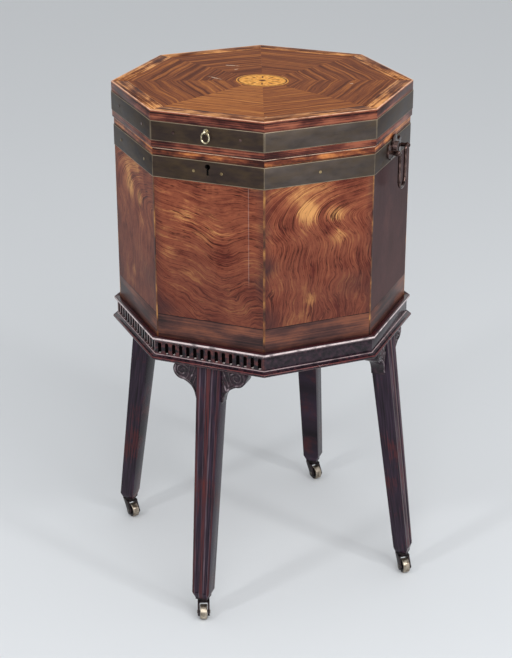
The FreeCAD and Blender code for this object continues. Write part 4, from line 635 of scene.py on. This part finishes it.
# The plain leaves' darker tones are partly painted shade.
plain_wood = figured_leaf("waxed_plain_mahogany_veneer", "321a1b", "3f2426", "583530", 0.4)
for number, figure_of in enumerate(LEAVES):
    bpy.ops.mesh.primitive_grid_add(x_subdivisions=40, y_subdivisions=50, size=1)
    panel = bpy.context.object
    panel.name = f"figured_panel_{number + 1}"
    bpy.ops.object.mode_set(mode="EDIT")
    bpy.ops.transform.resize(value=(panel_width, PANEL_HEIGHT, 1))
    bpy.ops.object.mode_set(mode="OBJECT")
    grain_map = panel.data.uv_layers.new(name="grain")
    for corner in panel.data.loops:
        point = panel.data.vertices[corner.vertex_index].co
        across_grain, along_grain = figure_of(point.x, point.y + PANEL_HEIGHT / 2)
        burl = 1 + 1.6 * blend(95 * MM, 45 * MM, point.y + PANEL_HEIGHT / 2)
        warp = noise.noise(Vector((point.x * 26, point.y * 20, number * 7.3))) * 5 * MM * burl
        warp += noise.noise(Vector((point.x * 95, point.y * 70, number * 3.1))) * 1.6 * MM * burl
        grain_map.data[corner.index].uv = (across_grain + warp + number, along_grain)
    gleam = panel.data.attributes.new("gleam", "FLOAT", "POINT")
    for vertex in panel.data.vertices:
        gleam.data[vertex.index].value = spots_at(vertex, PAINTED_SHEEN_SPOTS[figure_of])
    soil = panel.data.attributes.new("soil", "FLOAT", "POINT")
    for vertex in panel.data.vertices:
        # Each leaf is darker towards its side edges and in its dark spots.
        rim = 0.55 * blend(12 * MM, 0, panel_width / 2 - abs(vertex.co.x))
        soil.data[vertex.index].value = min(spots_at(vertex, DARK_SPOTS[figure_of]) + rim, 1)
    stand_up = Matrix.Translation((0, -BODY_HALF, (PANEL_FOOT + PANEL_TOP) / 2))
    turned = Matrix.Rotation(math.radians(45 * number), 4, "Z")
    panel.data.transform(turned @ stand_up @ Matrix.Rotation(math.radians(90), 4, "X"))
    backing = panel.modifiers.new("thickness", "SOLIDIFY")
    backing.thickness = VENEER
    backing.offset = -1
    bpy.ops.object.modifier_apply(modifier="thickness")
    panel.data.materials.append(plain_wood if figure_of is plain_figure else figured_wood)
    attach(panel, "box")
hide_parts("side_veneers")


# Bandings: straight-grained mahogany strips round the foot and rim of the box and above and below the brass
# of the lid. The rim's are rubbed light and orange, the foot's smoked dark, the lid's a red brown. Thin pale
# lines along the top edges are painted highlights, and a dark line under the lid's top edge is painted
# shadow.

# Polished mahogany, straight-grained: a low gloss and fibres drawn 2.4 mm apart, coarser than they are.
def strip_wood(name, low, middle, high, roughness, gloss=0.2, blotch=0.7, lines=(), streaks=1.0,
               patch=(0.045, 0.02)):
    """Straight-grained strip, dark to light, its grain along it; the lines are by height or way out."""
    material, shader, place = start(name, middle, roughness, gloss=gloss)
    layout = add(material, "UVMap", {"uv_map": "face"}).outputs[0]
    fibres = drawn_out(material, layout, (0.22, 0.0024, 1), 4)
    patches = drawn_out(material, layout, (*patch, 1), 5, 0.6)
    faint = add(material, "Math", {"operation": "MULTIPLY"}, {0: fibres.outputs[0], 1: streaks})
    mixed = add(material, "Math", {"operation": "MULTIPLY_ADD"}, {0: patches.outputs[0], 1: blotch,
                                                                  2: faint.outputs[0]})
    middle_value = (blotch + streaks) / 2
    spread = add(material, "MapRange", (), {"Value": mixed.outputs[0], "From Min": middle_value - 0.25,
                                            "From Max": middle_value + 0.25})
    tint = add(material, "ValToRGB", (), {"Fac": spread.outputs[0]},
               [(0.15, low), (0.9, high), (0.5, middle)])
    shown = tint.outputs[0]
    if lines:
        height = add(material, "SeparateXYZ", (), {0: layout}).outputs[1]
        for line in lines:
            shown = worn_and_painted_line(material, shown, height, *line)
    link(material, shown, shader, "Base Color")
    relief = add(material, "Bump", (), {"Height": fibres.outputs[0], "Strength": 0.2, "Distance": 0.2 * MM})
    link(material, relief, shader, "Normal")
    return material


# The rim's pale line at its top edge is a painted highlight.
rim_wood = strip_wood("rubbed_mahogany_rim_strip", "2e0f09", "733a26", "cb8148", 0.35, blotch=1.3,
                      lines=[(688.5, 689.7, "e2c0a8", 0.85), (679, 681.6, "2a0f0c", 0.8, 0.8 * MM)])
foot_wood = strip_wood("smoked_mahogany_foot_banding", "2b1d1d", "4c302c", "7a4a38", 0.38, blotch=1.2,
                       lines=[(449.3, 450.6, "170a0a", 0.95)], streaks=0.6, patch=(0.11, 0.035))
# The crown strip: a dark joint line at its foot, and under the lid's top edge a dark line of painted shadow
# with a painted highlight above it on the arris.
crown_wood = strip_wood("polished_mahogany_crown_strip", "2a0c0a", "5a2b23", "94563f", 0.3, blotch=1.1,
                        lines=[(690.4, 691.5, "1c0806", 0.9), (736.4, 738.6, "1c0806", 0.9),
                               (738.8, 740.2, "8a4a35", 0.7)])
for name, node, material, width in (("rim_strips", "rim_banding", rim_wood, 0.25),
                                    ("foot_strips", "base_banding", foot_wood, 0.15),
                                    ("lid_edge_strips", "lid_edge_banding", crown_wood, 0.25)):
    piece = lay_out(softened(name, node, width, material))


# Corner strings: thin boxwood strings let into the upright corners and glued, to guard the veneers' edges.
# They have yellowed, and every 25 mm or so they are chipped down to the dark glue.
string_wood, shader, place = start("yellowed_boxwood_string", "b7844a", 0.45, gloss=0.3)
chips = drawn_out(string_wood, place, (1 / 40, 1 / 40, 1 / 45), 4)
tint = add(string_wood, "ValToRGB", (), {"Fac": chips.outputs[0]},
           [(0.38, "351c16"), (0.72, "c08b4c"), (0.52, "6f4327")])
link(string_wood, tint, shader, "Base Color")
string_piece = softened("corner_strings", "corner_stringing", 0, string_wood)


# Brass bands: rolled sheet brass, bent round the box and the lid in eight flats and pinned to the boards.
# Tarnish has dulled it to a grey olive brown, in clouds 30 mm long. Each flat has its own tone, partly
# tarnish and partly painted light for how that flat catches the light, and the edges and corner joints are
# lighter, partly rubbed bright and partly painted highlight.
# The joints lie at the ends of a face, which is 161 mm wide: JOINT_FROM and JOINT_TO are in half metres.
JOINT_FROM, JOINT_TO = 0.1590, 0.1608


def tarnished(name, tones, low_edge, high_edge):
    """Tarnished sheet brass, one tone to each face that is partly painted light, and lighter along the edges
    at these heights in mm, partly a painted highlight.
    """
    material, shader, place = start(name, tones[0], 0.42, metallic=0.75)
    layout = add(material, "UVMap", {"uv_map": "face"}).outputs[0]
    clouds = drawn_out(material, layout, (0.03, 0.012, 1), 5, 0.6)
    parts = add(material, "SeparateXYZ", (), {0: layout})
    whole = add(material, "Math", {"operation": "MULTIPLY_ADD"}, {0: parts.outputs[0], 1: 2, 2: 0.5})
    strip = add(material, "Math", {"operation": "MULTIPLY"}, {0: whole.outputs[0], 1: 1 / 8})
    toned = add(material, "ValToRGB", (), {"Fac": strip.outputs[0]},
                [(number / 8, tone) for number, tone in enumerate(tones)])
    toned.color_ramp.interpolation = "CONSTANT"
    mottle = add(material, "MapRange", (), {"Value": clouds.outputs[0], "From Min": 0.3, "From Max": 0.7,
                                            "To Min": 0.72, "To Max": 1.3})
    tint = add(material, "HueSaturation", (), {"Value": mottle.outputs[0], "Color": toned.outputs[0]})
    olive = add(material, "MapRange", (), {"Value": clouds.outputs["Color"], "From Min": 0.42,
                                           "From Max": 0.66, "To Max": 0.5})
    tint = add(material, "Mix", {"data_type": "RGBA"}, {0: olive.outputs[0], 6: tint.outputs[0],
                                                        7: colour("55442b")})
    middle = (low_edge + high_edge) / 2 * MM
    reach = (high_edge - low_edge) / 2 * MM
    edge = add(material, "MapRange", (), {"Value": distance(material, parts.outputs[1], middle),
                                          "From Min": reach - 1.0 * MM, "From Max": reach - 0.4 * MM})
    part_face = add(material, "Math", {"operation": "FRACT"}, {0: whole.outputs[0]})
    corner = add(material, "MapRange", (), {"Value": distance(material, part_face.outputs[0], 0.5),
                                            "From Min": JOINT_FROM, "From Max": JOINT_TO, "To Max": 0.45})
    # Painted highlight, partly rubbed: the edges and corner joints are mixed towards a pale brass.
    worn_and_lit_edges = add(material, "Math", {"operation": "MAXIMUM"}, {0: edge.outputs[0], 1: corner.outputs[0]})
    worn_and_lit_share = add(material, "MapRange", (), {"Value": clouds.outputs[0], "From Min": 0.3, "From Max": 0.6,
                                            "To Min": 0.3, "To Max": 0.8})
    share = add(material, "Math", {"operation": "MULTIPLY"}, {0: worn_and_lit_edges.outputs[0], 1: worn_and_lit_share.outputs[0]})
    edged = add(material, "Mix", {"data_type": "RGBA"}, {0: share.outputs[0], 6: tint.outputs[2],
                                                         7: colour("b3a288")})
    link(material, edged.outputs[2], shader, "Base Color")
    sheen = add(material, "MapRange", (), {"Value": clouds.outputs[0], "To Min": 0.34, "To Max": 0.56})
    link(material, sheen, shader, "Roughness")
    dents = add(material, "Bump", (), {"Height": clouds.outputs[0], "Strength": 0.25, "Distance": 0.4 * MM})
    link(material, dents, shader, "Normal")
    return material


FACE_TONES_PARTLY_PAINTED_LIGHT = ("382c27", "514843", "403633", "4a4039", "463b33", "4f453d", "41372f", "2c211d")
for name, node, low, high in (("brass_band_of_box", "box_band", 649, 679),
                              ("brass_band_of_lid", "lid_band", 700, 727)):
    sheet = tarnished(f"tarnished_sheet_brass_{node}", FACE_TONES_PARTLY_PAINTED_LIGHT, low, high)
    piece = lay_out(softened(name, node, 0.35, sheet))
# Cast brass, waxed and dirty: brown-black and glossy, rubbed lighter every 8 mm or so.
cast_brass = mottled("dark_cast_brass", "33261f", 0.17, 120, 4, [(0.34, "1c1112"), (0.72, "7a625c")],
                     metallic=0.85)
# Yellow brass, rubbed: a warm satin metal with duller spots every 7 mm or so.
bright_brass = mottled("rubbed_yellow_brass", "9a8560", 0.3, 150, 4, [(0.32, "6b5a40"), (0.7, "bda67c")],
                       metallic=0.9)
paint("lid_band_pins", cast_brass)
paint("box_band_pins", bright_brass)


# Lock and hinges: an iron lock case let in behind the keyhole, with a steel bolt that catches two staples
# of a brass link plate, and two brass butt hinges at the back, with brass pins and steel screws.
for node in ("link_plate", "hinge_leaves_lower", "hinge_leaves_upper", "hinge_pins"):
    paint(node, bright_brass)
for node in ("hinge_screws_lower", "hinge_screws_upper", "lock_bolt"):
    paint(node, steel)
paint("lock_case", iron)


# Ring pull: a drop ring of brass wire, through the eye of a post in the lid's brass band. Fingers have kept
# both pale and bright, with dull spots about 4 mm apart.
ring_brass = mottled("handled_ring_brass", "b09a6a", 0.22, 260, 3, [(0.34, "75684a"), (0.64, "eadfc0")],
                     metallic=0.9)
for node in ("ring_pull", "ring_post"):
    paint(node, ring_brass)


# Handles: on the right and left, a pierced backplate of cast brass with two posts, which hold a drop bail.
# All are dark with wax and dirt, with lighter rubbed spots.
plates = softened("cast_backplates", "handle_plates", 0.4, cast_brass)
for node in ("handle_posts", "bail_right", "bail_left"):
    paint(node, cast_brass)


# Inside: a tray of zinc sheet that keeps the wine cool, and mahogany boards halved together that part it
# into twelve cells. The lid's frame and top board are mahogany too, waxed and not polished.

# Zinc sheet: a dull blue-grey metal with a pale bloom in patches of 25 mm.
zinc = mottled("dull_zinc_sheet", "8b8f8e", 0.5, 40, 5, [(0.32, "6e7271"), (0.7, "a5a9a7")], metallic=0.8)
paint("liner", zinc)
# Waxed mahogany: a soft sheen, and fibres 3 to 4.5 mm apart.
for name, fibre_size, boards in (
        ("waxed_mahogany_cell_boards", (0.03, 0.03, 0.003), ("dividers_lengthwise", "dividers_crosswise")),
        ("waxed_mahogany_lid_boards", (0.16, 0.0045, 0.02), ("lid_frame", "lid_board"))):
    board_wood, shader, place = start(name, "6d4433", 0.55)
    fibres = drawn_out(board_wood, place, fibre_size, 3)
    tint = add(board_wood, "ValToRGB", (), {"Fac": fibres.outputs[0]}, [(0.32, "54301f"), (0.7, "85573f")])
    link(board_wood, tint, shader, "Base Color")
    for node in boards:
        paint(node, board_wood)


# Lid top: eight wedges of veneer with the grain along the outer edge, so that it turns at every mitre, inside
# a border of lighter wood. Sun has bleached it to a golden brown, and it is chipped. Each wedge is painted
# lighter or darker, the front one lightest, as the sheen of its turned grain.

# Bleached mahogany: nearly matt, in gold and brown bands 5 mm apart that follow the outer edge. The pores
# are drawn 1.4 mm apart, coarser than they are.
top_wood, shader, place = start("bleached_mahogany_lid_veneer", "94603a", 0.42, gloss=0.02)
layout = add(top_wood, "UVMap", {"uv_map": "face"}).outputs[0]
parts = add(top_wood, "SeparateXYZ", (), {0: layout})
whole = add(top_wood, "Math", {"operation": "MULTIPLY_ADD"}, {0: parts.outputs[0], 1: 2, 2: 0.5})
wedge = add(top_wood, "Math", {"operation": "FLOOR"}, {0: whole.outputs[0]})
wander = drawn_out(top_wood, layout, (0.08, 0.06, 1), 2)
bent = add(top_wood, "Math", {"operation": "MULTIPLY_ADD"}, {0: wander.outputs[0], 1: 0.016,
                                                             2: parts.outputs[1]})
grain = add(top_wood, "CombineXYZ", (), {0: parts.outputs[0], 1: bent.outputs[0]})
bands = drawn_out(top_wood, grain.outputs[0], (0.24, 0.0048, 1), 5, 0.66)
pores = drawn_out(top_wood, grain.outputs[0], (0.016, 0.0014, 1), 2)
# Painted sheen: each wedge is given a shade of its own, which lightens or darkens its bands.
turned = add(top_wood, "Math", {"operation": "MULTIPLY"}, {0: wedge.outputs[0], 1: 1 / 8})
tone = add(top_wood, "ValToRGB", (), {"Fac": turned.outputs[0]},
           [(number / 8, shade) for number, shade in
            enumerate(("f0f0f0", "aaaaaa", "303030", "555555", "777777", "666666", "404040", "606060"))])
tone.color_ramp.interpolation = "CONSTANT"
toned = add(top_wood, "Math", {"operation": "MULTIPLY_ADD"}, {0: tone.outputs[0], 1: 0.14,
                                                              2: bands.outputs[0]})
tint = add(top_wood, "ValToRGB", (), {"Fac": toned.outputs[0]},
           [(0.4, "552814"), (0.78, "c88647"), (0.52, "7c4426"), (0.63, "a0602f")])
specks = add(top_wood, "MapRange", (), {"Value": pores.outputs[0], "From Min": 0.56, "From Max": 0.68,
                                        "To Max": 0.5})
speckled = add(top_wood, "Mix", {"data_type": "RGBA"}, {0: specks.outputs[0], 6: tint.outputs[0],
                                                        7: colour("482412")})
# Nicks down to pale bare wood: mm right and back from the lid's middle, the turn, and mm long and wide.
LID_TOP = 741 * MM
NICKS = ((-72, 62, 0.2, 17, 2.2), (-67, -12, -0.35, 16, 1.9), (-150, -108, 0.9, 6, 3),
         (75, -172, 0.1, 4, 2), (-58, 44, 1.2, 7, 1.6), (122, 30, 0.5, 4, 1.6))
ragged = add(top_wood, "TexNoise", (), {"Vector": place, "Scale": 420, "Detail": 3})
shown = speckled.outputs[2]
for across, up, turn, long, wide in NICKS:
    at_nick = add(top_wood, "Mapping", {"vector_type": "TEXTURE"},
                  {"Vector": place, "Location": (across * MM, up * MM, LID_TOP), "Rotation": (0, 0, turn),
                   "Scale": (long * MM, wide * MM, 1)})
    reach = add(top_wood, "VectorMath", {"operation": "LENGTH"}, {0: at_nick.outputs[0]})
    torn = add(top_wood, "Math", {"operation": "MULTIPLY_ADD"}, {0: ragged.outputs[0], 1: 1.6,
                                                                 2: reach.outputs["Value"]})
    bare = add(top_wood, "MapRange", (), {"Value": torn.outputs[0], "From Min": 1.5, "From Max": 1.25,
                                          "To Max": 0.8})
    shown = add(top_wood, "Mix", {"data_type": "RGBA"}, {0: bare.outputs[0], 6: shown,
                                                         7: colour("e2cdb6")}).outputs[2]
link(top_wood, shown, shader, "Base Color")
relief = add(top_wood, "Bump", (), {"Height": bands.outputs[0], "Strength": 0.15, "Distance": 0.3 * MM})
link(top_wood, relief, shader, "Normal")
wedges = lay_out(softened("mitred_lid_veneers", "lid_veneers", 0, top_wood))
# The border's two pale lines, along the lid's top edge, are painted highlights.
border_wood = strip_wood("orange_mahogany_border", "4a2213", "8a5230", "dc9c62", 0.4, 0.02, 1.4,
                         [(194.3, 196.2, "eebfa2", 0.85), (739.8, 741.2, "e2ab8c", 0.8)])
border = lay_out(softened("lid_border", "lid_crossbanding", 0.3, border_wood))


# Patera: an oval of satinwood let into the middle of the lid, with a dark line near its edge and a ring of
# petals, shaded dark in hot sand, round a dark eye. Satinwood is a pale gold, and worn nearly matt.
satinwood, shader, place = start("satinwood_patera", "cf944e", 0.4, gloss=0.02)
HALF_LONG, HALF_SHORT, PETALS = 37.5 * MM, 32.5 * MM, 10
scaled = add(satinwood, "Mapping", (), {"Vector": place, "Scale": (1 / HALF_LONG, 1 / HALF_SHORT, 0)})
parts = add(satinwood, "SeparateXYZ", (), {0: scaled.outputs[0]})
angle = add(satinwood, "Math", {"operation": "ARCTAN2"}, {0: parts.outputs[1], 1: parts.outputs[0]})
reach = add(satinwood, "VectorMath", {"operation": "LENGTH"}, {0: scaled.outputs[0]})
waves = add(satinwood, "Math", {"operation": "MULTIPLY"}, {0: angle.outputs[0], 1: PETALS / 2})
lobes = add(satinwood, "Math", {"operation": "SINE"}, {0: waves.outputs[0]})
lobe = add(satinwood, "Math", {"operation": "ABSOLUTE"}, {0: lobes.outputs[0]})
edges = []
for low, high, at_low, at_high in ((0.86, 0.92, 0, 1), (0.94, 0.97, 1, 0), (0.34, 0.44, 0, 1),
                                   (0.62, 0.76, 1, 0), (0.1, 0.16, 1, 0)):
    edges.append(add(satinwood, "MapRange", {"interpolation_type": "SMOOTHSTEP"},
                     {"Value": reach.outputs["Value"], "From Min": low, "From Max": high,
                      "To Min": at_low, "To Max": at_high}).outputs[0])
line_inside, line_outside, petal_foot, petal_tip, eye = edges
petal_side = add(satinwood, "MapRange", {"interpolation_type": "SMOOTHSTEP"},
                 {"Value": lobe.outputs[0], "From Min": 0.35, "From Max": 0.2})
petals = add(satinwood, "Math", {"operation": "MULTIPLY"}, {0: petal_foot, 1: petal_tip})
petals = add(satinwood, "Math", {"operation": "MULTIPLY"}, {0: petals.outputs[0], 1: petal_side.outputs[0]})
outline = add(satinwood, "Math", {"operation": "MULTIPLY"}, {0: line_inside, 1: line_outside})
inlaid = add(satinwood, "Math", {"operation": "MAXIMUM"}, {0: petals.outputs[0], 1: outline.outputs[0]})
inlaid = add(satinwood, "Math", {"operation": "MAXIMUM"}, {0: inlaid.outputs[0], 1: eye})
dust = add(satinwood, "TexNoise", (), {"Vector": place, "Scale": 220, "Detail": 3})
ground = add(satinwood, "ValToRGB", (), {"Fac": dust.outputs[0]}, [(0.3, "c88028"), (0.7, "f8b860")])
tint = add(satinwood, "Mix", {"data_type": "RGBA"}, {0: inlaid.outputs[0], 6: ground.outputs[0],
                                                     7: colour("5d3214")})
link(satinwood, tint.outputs[2], shader, "Base Color")
paint("lid_patera", satinwood)
